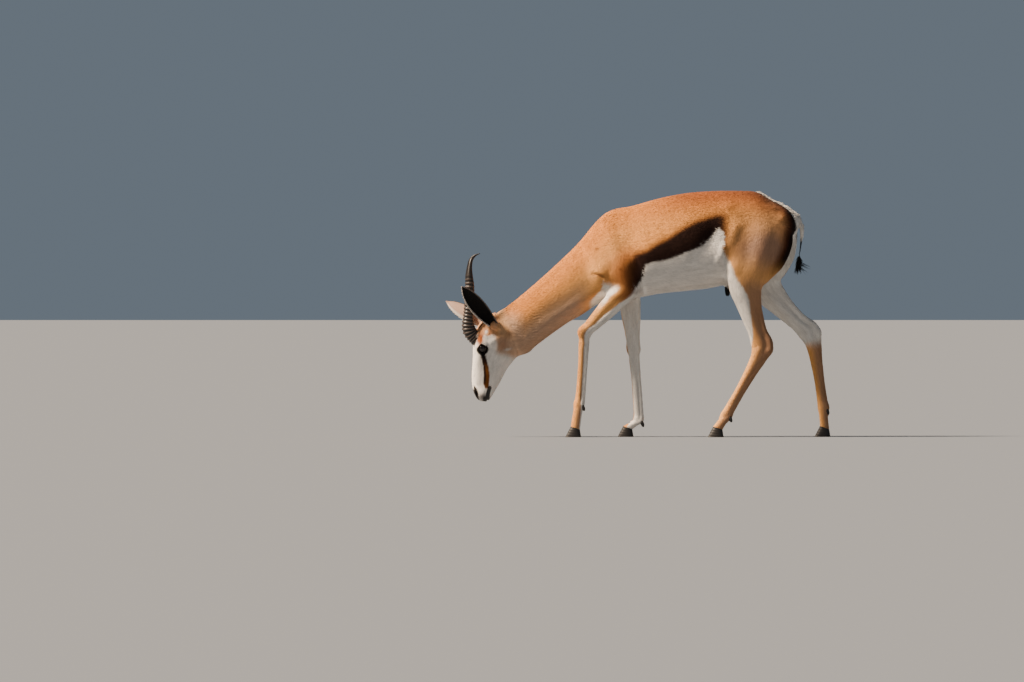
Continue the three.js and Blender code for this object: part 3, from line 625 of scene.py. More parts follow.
def skin_shells():
    """The closed shells whose union is the body under its coat, each inside the solids by the coat's
    depth."""
    depth = np.interp(np.arange(len(TRUNK_FINE)) / 6, [0, 3, 8, 18], [2.5, 3.5, 4, 4])
    shells = [capped(section_rings(TRUNK_FINE, 96, -depth))]
    head_depth = np.interp(np.arange(len(HEAD_FINE)) / 8, [0, 4, 12], [3, 2, 1])
    points, faces = capped(section_rings(HEAD_FINE, 96, -head_depth))
    shells.append((head_turned(points), faces))
    for side in (-1, 1):
        centre = (EYE + ORBIT_PLACE) * [1, side, 1]
        points, faces = ball(centre, ORBIT_RADII - 1.5)
        shells.append((head_turned(points), faces))
        points, faces = ball(EAR_ROOT * [1, side, 1] + [2, 0, 0], [15, 13, 15])
        shells.append((head_turned(points), faces))
        points, faces = ball([-546, 22 * side, 342], [20, 17, 20])
        shells.append((head_turned(points), faces))
    for name, leg in LEGS.items():
        rows = finer(LEG_ROWS[name], 6)
        depth = np.interp(np.arange(len(rows)) / 6, [0, 4, 8, 12], [4, 3, 1.6, 1.2])
        shells.append(capped(section_rings(rows, 48, -depth)))
        for toe in (-1, 1):
            shells.append(capped(section_rings(digit_rows(leg, toe), 32, -0.8)))
    stops, halves, flats = np.array(TAIL_HALVES).T
    fine = np.linspace(0, 1, 30)
    shells.append(capped(tube_rings(TAIL_LINE, fine, np.interp(fine, stops, halves) - 1.6,
                                    np.interp(fine, stops, flats), 20)))
    shells.append(ball([384, 0, 543], [20, 17, 32]))
    shells.append(ball([301, 0, 512], [12, 9.5, 19]))
    return shells


def merged(shells):
    """Several meshes as one, with the numbers of later faces moved on."""
    starts = np.cumsum([0] + [len(points) for points, _ in shells[:-1]])
    points = np.concatenate([points for points, _ in shells])
    faces = np.concatenate([faces + start for (_, faces), start in zip(shells, starts)])
    return points, faces


def mesh_from(name, points, faces):
    """A mesh from arrays of points and faces."""
    mesh = bpy.data.meshes.new(name)
    mesh.vertices.add(len(points))
    mesh.vertices.foreach_set("co", np.ascontiguousarray(points, np.float32).ravel())
    sides = faces.shape[1]
    mesh.loops.add(faces.size)
    mesh.loops.foreach_set("vertex_index", np.ascontiguousarray(faces, np.int32).ravel())
    mesh.polygons.add(len(faces))
    mesh.polygons.foreach_set("loop_start", np.arange(0, faces.size, sides, dtype=np.int32))
    mesh.update(calc_edges=True)
    return mesh


def read_mesh(mesh):
    """Points, triangles and the normals of the points, read from a mesh."""
    points = np.empty(len(mesh.vertices) * 3, np.float32)
    mesh.vertices.foreach_get("co", points)
    mesh.calc_loop_triangles()
    faces = np.empty(len(mesh.loop_triangles) * 3, np.int32)
    mesh.loop_triangles.foreach_get("vertices", faces)
    normals = np.empty(len(mesh.vertices) * 3, np.float32)
    mesh.vertex_normals.foreach_get("vector", normals)
    return points.reshape(-1, 3).astype(float), faces.reshape(-1, 3), normals.reshape(-1, 3).astype(float)


def changed(mesh, kind, weights=None, **settings):
    """A copy of the mesh as one modifier leaves it."""
    thing = bpy.data.objects.new("work", mesh)
    bpy.context.scene.collection.objects.link(thing)
    if weights is not None:
        group = thing.vertex_groups.new(name="Share")
        levels = np.unique(weights)
        for level in levels:
            group.add(np.flatnonzero(weights == level).tolist(), float(level), "REPLACE")
    modifier = thing.modifiers.new("Work", kind)
    for key, value in settings.items():
        setattr(modifier, key, value)
    bpy.context.view_layer.update()
    graph = bpy.context.evaluated_depsgraph_get()
    made = bpy.data.meshes.new_from_object(thing.evaluated_get(graph))
    bpy.data.objects.remove(thing)
    return made


def smoothed(points, edges, rounds, amounts, share=None):
    """Each point moves part of the way to the mean of its neighbours, with the amounts taken in turn, by
    its own share where one is given."""
    used, weight = np.arange(len(points)), 1.0
    if share is not None:
        edges = edges[(share[edges] > 0).any(1)]
        used, flat = np.unique(edges, return_inverse=True)
        edges = flat.reshape(-1, 2)
        weight = share[used][:, None]
    a, b = edges.T
    size = len(used)
    count = np.bincount(edges.ravel(), minlength=size)[:, None]
    local = points[used]
    for k in range(rounds):
        total = np.stack([np.bincount(a, local[b, c], size) + np.bincount(b, local[a, c], size)
                          for c in range(3)], 1)
        local = local + weight * amounts[k % len(amounts)] * (total / count - local)
    points = points.copy()
    points[used] = local
    return points


def mesh_edges(mesh):
    """The pairs of points that a mesh joins."""
    edges = np.empty(len(mesh.edges) * 2, np.int32)
    mesh.edges.foreach_get("vertices", edges)
    return edges.reshape(-1, 2)


def joins(points):
    """How much of the long smoothing each point takes: 1 where the head and the legs run into the trunk, as
    soft ovals in the side view."""
    share = np.zeros(len(points))
    for x, z, reach_x, reach_z, tilt in JOINS:
        a = math.radians(tilt)
        dx, dz = points[:, 0] - x, points[:, 2] - z
        u = (dx * math.cos(a) + dz * math.sin(a)) / reach_x
        v = (dz * math.cos(a) - dx * math.sin(a)) / reach_z
        share = np.maximum(share, rise(np.hypot(u, v), 1.25, 0.75))
    return share


def relief(points, normals):
    """How far each point of the skin moves outwards: the forms of its part, with grooves below zero."""
    part = part_of(points)
    height = np.zeros(len(points))
    flank = np.abs(normals[:, 1]) ** 1.5
    body = (part != HEAD_PART) & (part != TAIL_PART) & (points[:, 2] > 470)
    body |= part == TRUNK_PART
    p2 = points[:, [0, 2]]
    height[body] += (swell_heights(p2, BODY_SWELLS) * flank)[body]
    for *line, width, high in BODY_STROKES:
        near = np.exp(-(polyline_distance(p2, line) / width) ** 2)
        height[body] += (high * near * flank)[body]
    for k, name in enumerate(LEGS):
        own = np.flatnonzero(part == FIRST_LEG + k)
        t, f = chart(points[own], LEG_ROWS[name])
        for row, share, reach_t, reach_f, high in (FORE_SWELLS if name.startswith("front") else HIND_SWELLS):
            height[own] += high * np.exp(-((t - row) / reach_t) ** 2 - ((f - share) / reach_f) ** 2)
    height += 0.8 * neck_folds(points) * flank
    own = np.flatnonzero(part == HEAD_PART)
    straight = head_straight(points[own])
    h2 = straight[:, [0, 2]]
    height[own] += swell_heights(h2, HEAD_SWELLS) * flank[own]
    lips = polyline_distance(h2, MOUTH_LINE)
    height[own] += -3.0 * np.exp(-(lips / 1.6) ** 2) + 0.8 * np.exp(-((lips - 5) / 3) ** 2)
    around, depth = nostril_field(straight)
    height[own] += 1.2 * np.exp(-((around - 1.5) / 0.5) ** 2) - 5.0 * depth
    return height


def nostril_field(straight):
    """How far points are from the slit of the nostril on their side, in its own half sizes, and how deep
    inside they are from 0 to 1. The slit is a comma: an oval whose middle line bends."""
    x, y, z = straight.T
    side = np.abs(y)
    u = (z - NOSTRIL[2]) * 0.9 + (x - NOSTRIL[0]) * 0.35
    v = (x - NOSTRIL[0]) * 0.75 + (side - NOSTRIL[1]) * 0.75 + 0.02 * u * u
    around = np.sqrt((u / 9.5) ** 2 + (v / 3.6) ** 2)
    near = (side > 4) & (x < -535)
    around = np.where(near, around, 9)
    return around, 1 - rise(around, 0.55, 1.15)


def lid_shape(u, v):
    """How far a place is from the middle of the slit between the lids, with 1 on its edge: a leaf shape."""
    half = 0.5 * LID_HEIGHT * np.clip(1 - (2 * u / LID_LENGTH) ** 2, 1e-3, 1) ** 0.8
    inside_slit = np.abs(v) / half
    beyond = np.abs(u) / (LID_LENGTH / 2)
    return np.where(beyond < 1, np.maximum(inside_slit, beyond), 1 + (beyond - 1) * 3 + np.abs(v) / 8)


def to_slit(dx, dz):
    """A place beside an eye's middle, along the slit between the lids and across it."""
    c, s = math.cos(EYE_SLOPE), math.sin(EYE_SLOPE)
    return dx * c + dz * s, dz * c - dx * s


def from_slit(u, v):
    """The way back from to_slit."""
    c, s = math.cos(EYE_SLOPE), math.sin(EYE_SLOPE)
    return u * c - v * s, u * s + v * c


def sink_eyes(points):
    """Skin within the slit between the lids goes under the eyeball, so that the eye shows."""
    straight = head_straight(points)
    for side in (-1, 1):
        local = (straight - EYE * [1, side, 1]) * [1, side, 1]
        near = (np.linalg.norm(local[:, [0, 2]], axis=1) < 32) & (local[:, 1] > -8)
        dx, out, dz = local[near].T
        u, v = to_slit(dx, dz)
        inner = 1 - rise(lid_shape(u, v), 0.95, 1.35)
        flat = np.sqrt(np.clip(EYE_RADIUS ** 2 - u ** 2 - v ** 2, 9, None)) - 3.5
        moved = np.where(out > flat, flat + (out - flat) * (1 - inner), out)
        sunk = np.stack([dx, moved, dz], 1)
        straight[near] = (sunk + EYE) * [1, side, 1]
    return head_turned(straight)


# Colours of the coat

def palette(context):
    """The coat's colours as light, by name."""
    coat = context.scene.springbok_coat
    names = ("tan", "fawn", "grey", "rufous", "deep", "dark", "white", "black", "orange")
    return {name: np.array(getattr(coat, name)[:]) for name in names}


def spot(p2, x, z, reach_x, reach_z, tilt=0.0):
    """A soft oval in the side view: 1 in its middle and 0 far from it."""
    return swell_heights(p2, [[x, z, reach_x, reach_z, tilt, 1.0]])


def throat_tan_with_shade(tint):
    """The greyer tan of the throat and back of the jaw, partly the coat's colour and partly painted shade."""
    return 0.3 * tint["fawn"] + 0.55 * tint["grey"] + 0.15 * tint["white"]


def body_colours(p, n, tint, belly=1.0):
    """Trunk and neck in the side view: rufous back, tan side, dark stripe that runs on to the elbow, white
    belly by the share given, and a white rump with a dark border; painted shade makes up part of the darker
    and greyer colour at the elbow, the shoulder, the thigh and under the neck, and painted light part of the
    paler side of the rump."""
    x, y, z = p.T
    p2 = p[:, [0, 2]]
    rows = np.array(TRUNK, float)
    back = polyline_distance(p2, rows[:, :2])
    c = np.broadcast_to(tint["tan"], (len(p), 3))
    c = mix(c, tint["fawn"], rise(x, 10, -120) * rise(back, 30, 120) * 0.75)
    c = mix(c, tint["orange"], rise(back, 105, 8) * 0.8)
    c = mix(c, tint["rufous"], np.exp(-(back / 60) ** 2) * rise(x, -60, 200))
    c = mix(c, tint["rufous"], 0.25 * rise(x, 380, 500) * rise(z, 560, 720))
    c = mix(c, tint["deep"], np.exp(-(back / 30) ** 2) * rise(x, 250, 440))
    c = mix(c, tint["fawn"], spot(p2, 335, 690, 60, 62) * 0.6)
    # Paler fawn on the side of the rump: partly the coat's own colour and partly painted light on a side
    # turned from the main light.
    c = mix(c, tint["fawn"], spot(p2, 450, 705, 62, 56) * 0.85)
    # Grey low on the back of the thigh: partly the coat's greyer tan and partly painted shade.
    c = mix(c, tint["grey"], np.clip(1.4 * spot(p2, 425, 600, 100, 115, -10), 0, 0.9))
    below = rows[:, 2:4]
    under = polyline_distance(p2, below)
    # Greyer under the neck: partly the throat's paler tan and partly painted shade.
    c = mix(c, throat_tan_with_shade(tint), rise(under, 120, 40) * rise(x, -150, -230))
    # Rufous at the elbow: partly the coat's own colour and partly painted shade.
    c = mix(c, tint["rufous"], spot(p2, -50, 560, 60, 70, 15) * 0.8)
    # Rufous behind the upper arm: a painted shade in the crease there.
    c = mix(c, tint["rufous"], spot(p2, -44, 616, 30, 22) * 0.5)
    # Deep brown in the crease at the point of the shoulder is painted shade; the small spot above it is a
    # dark mark in the coat.
    c = mix(c, tint["deep"], np.maximum(spot(p2, -138, 546, 18, 7, -15), spot(p2, -148, 633, 5, 4)) * 0.8)
    elbow = polyline_distance(p2, ELBOW_LINE)
    # Deep brown and dark ahead of the white behind the elbow: partly the stripe's dark hair and partly
    # painted shade.
    c = mix(c, tint["deep"], np.exp(-(elbow / 36) ** 2) * rise(z, 470, 520) * rise(z, 640, 600) * 0.85)
    c = mix(c, tint["dark"], np.exp(-(elbow / 20) ** 2) * rise(z, 500, 550) * rise(z, 640, 590) * 0.6)
    upper = read_line(STRIPE_TOP, x)
    line = read_line(BELLY_LINE, x)
    edge = read_line([row[::-1] for row in RUMP_LINE], z)
    edge = edge - 75 * rise(np.abs(y), 42, 16) * rise(z, 500, 560) * rise(z, 775, 745)
    soft = rise(upper + 20 - z, 0, 34) * rise(x, -75, -10) * rise(x, 312, 276)
    c = mix(c, tint["deep"], soft * 0.8)
    c = mix(c, tint["dark"], rise(upper + 2 - z, 0, 20) * rise(x, -48, 6) * rise(x, 298, 264))
    elbow_x = read_line([row[::-1] for row in ELBOW_LINE], z)
    behind = rise(x - elbow_x, -4, 6) * rise(z, 592, 580) * rise(x, 60, 30)
    white = np.maximum(rise(line - z, -4, 5) * rise(x, -178, -160) * belly, behind)
    c = mix(c, tint["white"], white)
    beside = edge - x
    c = mix(c, tint["deep"], rise(beside, 62, 26) * rise(z, 520, 600))
    c = mix(c, tint["dark"] * 0.6, rise(beside, 36, 17) * rise(z, 515, 560))
    half = read_line(CREST_HALF, x)
    on_top = rise(n[:, 2], 0.1, 0.5) * rise(x, 380, 400) * rise(z, 740, 765)
    flank = np.abs(y) - half
    c = mix(c, tint["dark"], on_top * np.exp(-((flank - 6) / 8) ** 2) * 0.9)
    c = mix(c, tint["white"], on_top * rise(flank, 3, -2))
    return mix(c, tint["white"], rise(x - edge, -2, 4) * rise(z, 480, 520))


def fore_colours(t, f, out, p, n, tint):
    """A foreleg: tan in front and outside, white behind, inside and down the front of its top, darker at the
    elbow and knee, greyer down the back of the lower leg; painted shade is part of the elbow's dark and the
    grey."""
    c = np.broadcast_to(tint["fawn"], (len(p), 3))
    c = mix(c, tint["orange"], rise(f, 0.1, 0.9) * 0.45 * rise(t, 5.5, 7.5))
    # Rufous and deep brown at the elbow: partly the coat's own colour and partly painted shade.
    c = mix(c, tint["rufous"], rise(t, 5.4, 4.2) * rise(f, 0.5, 0.0) * 0.8)
    c = mix(c, tint["deep"], rise(t, 5.0, 3.8) * rise(f, 0.1, -0.5) * 0.8)
    c = mix(c, tint["rufous"], np.exp(-((t - 8) / 0.7) ** 2) * rise(f, 0.2, 0.8) * 0.3)
    # Grey down the back of the lower leg: partly the coat's greyer tan and partly painted shade.
    c = mix(c, tint["grey"], rise(f, 0.5, -0.2) * rise(t, 6, 8) * 0.7)
    limit = read_line(FORE_WHITE, t)
    behind = rise(f + 0.2 * rise(out, 0.5, 0.0), limit + 0.1, limit - 0.1)
    strip = rise(f, 0.42, 0.66) * rise(t, 3.5, 4.0) * rise(t, 6.4, 5.2)
    inner = rise(out, -0.02, -0.35) * rise(f, 0.96, 0.8)
    white = np.maximum(np.maximum(behind, strip), inner)
    c = mix(c, tint["white"] * 0.96, white)
    upper = body_colours(p, n, tint, rise(out, 0.0, -0.4))
    return mix(upper, c, rise(t, 3.5, 4.5))


def hind_colours(t, f, out, p, n, tint):
    """A hind leg: tan outside, white inside and down the front of the thigh, tan round the cannon; the grey
    and brown down the back are partly painted shade, and the paler front of the cannon partly painted light.
    """
    c = np.broadcast_to(tint["fawn"], (len(p), 3))
    c = mix(c, tint["tan"], rise(t, 3.5, 6) * 0.4)
    # Grey down the back of the leg: partly the coat's greyer tan and partly painted shade.
    c = mix(c, tint["grey"], rise(f, 0.9, -0.3) * rise(t, 3.0, 5.5) * 0.75)
    # A paler front to the cannon: partly the coat's fawn and partly painted light.
    c = mix(c, tint["fawn"], rise(f, 0.5, 0.9) * 0.6 * rise(t, 8.5, 10.5))
    # Deep brown behind the gaskin: partly the coat's own colour and partly painted shade.
    c = mix(c, tint["deep"], rise(f, 0.1, -0.7) * rise(t, 5, 8) * 0.25)
    limit = read_line(HIND_WHITE, t)
    front = rise(f, limit - 0.08, limit + 0.1)
    inner = rise(out, -0.02, -0.4) * rise(t, 11.4, 10.2)
    c = mix(c, tint["white"] * 0.97, np.maximum(front, inner))
    upper = body_colours(p, n, tint, rise(out, 0.1, -0.3))
    upper = mix(upper, tint["white"] * 0.97, rise(out, -0.1, -0.45) * rise(p[:, 2], 740, 690))
    upper = mix(upper, tint["white"] * 0.97, front * rise(p[:, 2], 690, 660))
    return mix(upper, c, rise(t, 2.6, 4.2))


def head_colours(p, tint):
    """The head in its own frame: white face and throat, a brown line from the eye to the mouth, tan poll and
    cheek, greyer and darker behind the ear in part as a painted shadow of the ear, orange crown with a white
    spot, and a dark nose and lips."""
    straight = head_straight(p)
    x, y, z = straight.T
    h2 = straight[:, [0, 2]]
    side = np.abs(y)
    c = np.broadcast_to(tint["white"], (len(p), 3))
    wave = 5 * np.sin(z / 13) + 3 * np.sin(x / 7)
    nape = rise(x + wave, -501, -476) * rise(z + 0.5 * wave + 0.25 * (x + 440), 262, 288)
    # Greyer tan behind the cheek and below the ear: partly the coat's colour and partly a painted shadow of
    # the ear.
    c = mix(c, throat_tan_with_shade(tint), nape)
    c = mix(c, tint["fawn"], nape * rise(z, 318, 350) * 0.4)
    # Deep brown behind the ear: partly dark hair and partly a painted shadow of the ear.
    c = mix(c, tint["deep"], spot(h2, -440, 352, 12, 34, -30) * 0.45)
    c = mix(c, tint["rufous"], spot(h2, -464, 308, 16, 20) * 0.35)
    c = mix(c, tint["white"], spot(h2, -447, 295, 12, 4, 12) * 0.7)
    crown = rise(z + 0.4 * wave, 338, 350) * rise(x, -568, -552) * rise(x, -466, -496)
    c = mix(c, 0.6 * tint["orange"] + 0.4 * tint["fawn"], crown * 0.85)
    c = mix(c, tint["white"], np.clip(1.6 * spot(h2, -520, 353, 4.5, 4.5), 0, 1) * rise(side, 14, 26))
    c = mix(c, tint["rufous"], spot(h2, -508, 350, 4, 9) * rise(side, 14, 26) * 0.7)
    brow = spot(h2, -540, 330, 10, 18, -8) * rise(side, 14, 24)
    c = mix(c, tint["rufous"], np.clip(brow * 1.6, 0, 1))
    behind_horn = polyline_distance(h2, [[-548, 366], [-536, 380], [-521, 396]])
    c = mix(c, tint["dark"], rise(behind_horn, 6, 3) * rise(side, 16, 24))
    line = np.array(TEAR_STRIPE, float)
    centre = np.interp(-z, -line[:, 1], line[:, 0])
    half = np.interp(-z, -line[:, 1], line[:, 2])
    ends = rise(z, 158, 168) * rise(z, 296, 284)
    stripe = rise(np.abs(x - centre), half + 3, half - 1) * ends * rise(side, 8, 14)
    dusk = np.maximum(rise(z, 216, 262), rise(centre - x, -4, 6) * rise(z, 162, 190))
    c = mix(c, mix(tint["orange"] * 0.38, tint["dark"] * 0.9, dusk), stripe)
    around, _ = nostril_field(straight)
    between = rise(side, 14, 9) * rise(x, -545, -550) * rise(z, 166, 157) * rise(z, 124, 132)
    c = mix(c, tint["deep"], spot(h2, -530, 136, 20, 12) * 0.55)
    c = mix(c, tint["black"], np.clip(rise(around, 2.6, 2.0) + between, 0, 1))
    lips = np.maximum(rise(polyline_distance(h2, MOUTH_LINE), 8.5, 5), 1.6 * spot(h2, -520, 128, 10, 12))
    c = mix(c, tint["black"], np.clip(lips, 0, 1) * 0.92)
    point = 1.5 * spot(h2, -531, 274, 6, 9, -15) * rise(side, 20, 30)
    c = mix(c, tint["black"], np.clip(point, 0, 1))
    for sign in (-1, 1):
        away = np.linalg.norm(straight - (EYE + [1, 0, -2]) * [1, sign, 1], axis=1)
        c = mix(c, tint["black"] * 0.5, rise(away, 22.5, 19.5))
    return c


def neck_folds(points):
    """Fine level ripples in the coat of the neck's middle, from -1 to 1: a sine of the height that sways."""
    x, y, z = points.T
    sway = 2.2 * np.sin(x / 17 + y / 23) + 1.3 * np.sin(x / 7.5 - z / 31)
    place = spot(points[:, [0, 2]], -376, 388, 62, 88, 0)
    broken = 0.55 + 0.45 * np.sin(x / 8 + z / 21) * np.sin(z / 12 - x / 27)
    return np.sin(2 * math.pi * (z + 0.2 * x + sway * 1.9) / 9.5) * place * broken


def coat_colours(points, normals, part, tint):
    """The colour of the coat at each place of the skin."""
    # The neck's ripples also lighten the colour on their crests and darken it in their grooves: painted light
    # and shade of the folds.
    colours = body_colours(points, normals, tint) * (1 + 0.22 * neck_folds(points))[:, None]
    near = points[:, 0] < -370
    (ax, az), (bx, bz) = HEAD_CUT
    x, z = points[near][:, [0, 2]].T
    before = ((x - ax) * (bz - az) - (z - az) * (bx - ax)) / math.hypot(bx - ax, bz - az)
    colours[near] = mix(colours[near], head_colours(points[near], tint), rise(before, -16, 6))
    for k, name in enumerate(LEGS):
        own = np.flatnonzero(part == FIRST_LEG + k)
        p, n = points[own], normals[own]
        t, f = chart(p, LEG_ROWS[name])
        way = fore_colours if name.startswith("front") else hind_colours
        colours[own] = way(t, f, n[:, 1] * LEGS[name]["side"], p, n, tint)
    own = np.flatnonzero(part == TAIL_PART)
    height = points[own][:, 2]
    colours[own] = mix(tint["white"], tint["black"], rise(height, 684, 664))
    return colours


# The lie of the coat

def coat_lie(points, normals, part):
    """The way the hair points, along the skin: back over the trunk, up the face, down the legs and tail;
    and a place along and around the part for streaks."""
    way = np.zeros((len(points), 3))
    streak = np.zeros((len(points), 3))
    for k, name in enumerate(PARTS):
        own = np.flatnonzero(part == k)
        if not len(own):
            continue
        p = points[own]
        rows = PART_ROWS.get(name)
        if rows is None:
            way[own] = [0, 0, -1]
            streak[own] = np.stack([p[:, 2], p[:, 1] * 2, 0 * p[:, 0] + 60], 1)
            continue
        q = head_straight(p) if name == "head" else p
        fine = finer(rows, 3)
        t, f = chart(q, fine)
        middle = (fine[:, 0:2] + fine[:, 2:4]) / 2
        run = unit(np.gradient(middle, axis=0))
        steps = np.concatenate([[0], np.cumsum(np.linalg.norm(np.diff(middle, axis=0), axis=1))])
        index = np.arange(len(fine))
        ahead = np.stack([np.interp(t, index, run[:, 0]), 0 * t, np.interp(t, index, run[:, 1])], 1)
        length = np.interp(t, index, steps)
        depth = np.interp(t, index, np.linalg.norm(fine[:, 0:2] - fine[:, 2:4], axis=1)) / 2
        if name == "head":
            ahead = -ahead
            ahead = unit(ahead + np.stack([0.25 + 0 * t, 0 * t, 0 * t], 1))
            ahead = head_way(ahead)
        elif name == "trunk":
            ahead = unit(ahead + np.array([0, 0, -0.35]) * np.abs(normals[own, 1:2]))
        way[own] = ahead
        streak[own] = np.stack([length, f * depth * 1.3 + np.sign(p[:, 1]) * 7, 0 * t + 40 * k], 1)
    way -= normals * (way * normals).sum(1, keepdims=True)
    return unit(way), streak


# The unwrap of the skin

class Unwrap:
    """Flat views of each part of the skin from six sides, laid out side by side on the unit square."""

    def __init__(self, points, faces, part, face_normals):
        self.places = {}
        group = part[faces[:, 0]] * 6 + self.facing(face_normals)
        centre = points[faces].reshape(-1, 3)
        owner = np.repeat(group, 3)
        boxes = []
        for key in np.unique(group):
            flat = self.flat(centre[owner == key], int(key) % 6)
            low, high = flat.min(0) - 4, flat.max(0) + 4
            boxes.append((int(key), low, high - low))
        boxes.sort(key=lambda box: -box[2][1])
        area = sum(size[0] * size[1] for _, _, size in boxes)
        width = math.sqrt(area) * 1.02
        while not self.lay(boxes, width):
            width *= 1.03
        self.scale = 1 / width

    def lay(self, boxes, width):
        """Sets boxes on shelves of the given width; false where they reach past a square."""
        x = y = shelf = 0.0
        for key, low, size in boxes:
            if x + size[0] > width:
                x, y, shelf = 0.0, y + shelf, 0.0
            self.places[key] = (low, np.array([x, y]))
            x += size[0]
            shelf = max(shelf, size[1])
        return y + shelf <= width and max(size[0] for _, _, size in boxes) <= width

    @staticmethod
    def facing(normals):
        """The side, of six, that each normal faces most."""
        axis = np.abs(normals).argmax(1)
        return axis * 2 + (normals[np.arange(len(normals)), axis] > 0)

    @staticmethod
    def flat(points, side):
        """Points seen from a side, as two numbers."""
        return points[:, [[1, 2], [0, 2], [0, 1]][side // 2]]

    def at(self, points, group):
        """The place on the unwrap of points of the given groups."""
        uv = np.zeros((len(points), 2))
        for key, (low, corner) in self.places.items():
            own = group == key
            uv[own] = (self.flat(points[own], key % 6) - low + corner) * self.scale
        return uv


def store_colours(mesh, name, colours):
    """A colour for each point of a mesh."""
    layer = mesh.attributes.new(name, "FLOAT_COLOR", "POINT")
    full = np.concatenate([colours, np.ones((len(colours), 1))], 1)
    layer.data.foreach_set("color", full.astype(np.float32).ravel())


def store_vectors(mesh, name, vectors):
    """Three numbers for each point of a mesh."""
    layer = mesh.attributes.new(name, "FLOAT_VECTOR", "POINT")
    layer.data.foreach_set("vector", vectors.astype(np.float32).ravel())


def store_unwrap(mesh, corners):
    """The map that a bake of this mesh uses, one place for each corner of each face."""
    layer = mesh.uv_layers.new(name="OFBake")
    layer.data.foreach_set("uv", corners.astype(np.float32).ravel())


def piece(name, points, faces, material, nodes=()):
    """An object in the scene made from points in the drawing's frame, riding on the part."""
    mesh = mesh_from(name, (points + SHIFT) * MM, faces)
    mesh.shade_smooth()
    mesh.materials.append(material)
    thing = bpy.data.objects.new(name, mesh)
    bpy.context.scene.collection.objects.link(thing)
    if nodes:
        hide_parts(*nodes)
    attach(thing, "root")
    return thing


# Tufts and locks

def sample_roots(points, faces, density, random):
    """Random places on the skin: a triangle is drawn by its area times its density, and a place in it
    evenly."""
    a, b, c = (points[faces[:, k]] for k in range(3))
    want = 0.5 * np.linalg.norm(np.cross(b - a, c - a), axis=1) * density
    face = random.choice(len(faces), int(want.sum()), p=want / want.sum())
    first = np.sqrt(random.random(len(face)))
    second = random.random(len(face))
    return face, np.stack([1 - first, first * (1 - second), first * second], 1)


def tufts(roots, normals, way, length, width, lift, random):
    """Flat tapering tufts: each is a blade of four faces from a low three-sided root to one tip, which lies
    along the skin and rises a little. Returns points, faces and soft normals like the skin's."""
    count = len(roots)
    turn = random.normal(0, 0.16, (count, 1))
    side = unit(np.cross(way, normals))
    along = unit(way + side * turn)
    side = unit(np.cross(along, normals))
    length, width, lift = (value[:, None] for value in (length, width, lift))
    low = roots - normals * 0.6
    left = low - side * width / 2
    right = low + side * width / 2
    top = roots + normals * (0.25 * lift + 0.15) + along * length * 0.22
    tip = roots + normals * lift + along * length
    points = np.stack([left, right, top, tip], 1).reshape(-1, 3)
    blade = np.array([[0, 1, 2], [0, 2, 3], [1, 3, 2], [0, 3, 1]])
    faces = (blade[None] + 4 * np.arange(count)[:, None, None]).reshape(-1, 3)
    soft = np.stack([unit(normals - 0.4 * side), unit(normals + 0.4 * side), normals,
                     unit(normals + 0.12 * along)], 1).reshape(-1, 3)
    points, faces = outward(points, faces)
    return points, faces, soft


def lock_mesh(paths, across, width, thickness):
    """Flat locks: at each stop of a path, four points lie half a width to the sides and half a thickness
    over and under it, and shrink to a point at the end."""
    count, stops, _ = paths.shape
    tangent = unit(np.gradient(paths, axis=1))
    side = across[:, None] - tangent * (across[:, None] * tangent).sum(-1, keepdims=True)
    side = unit(side)
    over = np.cross(side, tangent)
    size = np.interp(np.linspace(0, 1, stops), [0, 0.35, 0.7, 1], [0.7, 1, 0.65, 0.06])[None, :, None]
    w = width[:, None, None] * size / 2
    h = thickness[:, None, None] * (0.3 + 0.7 * size) * np.minimum(1, size * 3) / 2
    points = np.stack([paths + side * w, paths + over * h, paths - side * w, paths - over * h], 2)
    ends = np.array([[0, 1, 2], [0, 2, 3]])
    one = np.concatenate([grid_faces(stops, 4), ends[:, ::-1], ends + 4 * (stops - 1)])
    faces = (one[None] + 4 * stops * np.arange(count)[:, None, None]).reshape(-1, 3)
    return outward(points.reshape(-1, 3), faces)


def hanging(roots, start, fall, length, stops=5):
    """Paths that leave their roots along start and bend by fall: root plus start times the share of the
    length, plus fall times its square."""
    s = np.linspace(0, 1, stops)[None, :, None]
    reach = length[:, None, None] * s
    return roots[:, None] + start[:, None] * reach + fall[:, None] * reach * s


def patch_map(unwrap, roots, groups):
    """One small patch of the unwrap for each tuft: its corners stand round the root's place."""
    centre = unwrap.at(roots, groups)
    angle = 2 * math.pi * np.arange(PATCH_CORNERS) / PATCH_CORNERS
    ring = np.stack([np.cos(angle), np.sin(angle)], 1) * BAKE_PATCH / 2
    return centre[:, None] + ring[None]


# Surfaces

def node_of(tree, kind, **inputs):
    """A shader node with the given input values."""
    node = tree.nodes.new(kind)
    for name, value in inputs.items():
        node.inputs[name].default_value = value
    return node


def math_of(tree, operation, *values):
    """The result of a math node whose inputs are wired from sockets or set to numbers, in order."""
    node = tree.nodes.new("ShaderNodeMath")
    node.operation = operation
    for socket, value in zip(node.inputs, values):
        if isinstance(value, bpy.types.NodeSocket):
            tree.links.new(value, socket)
        else:
            socket.default_value = value
    return node.outputs[0]


def stored_on_mesh(tree, name):
    """A shader node that reads what is stored on the mesh under a name."""
    node = tree.nodes.new("ShaderNodeAttribute")
    node.attribute_name = name
    return node


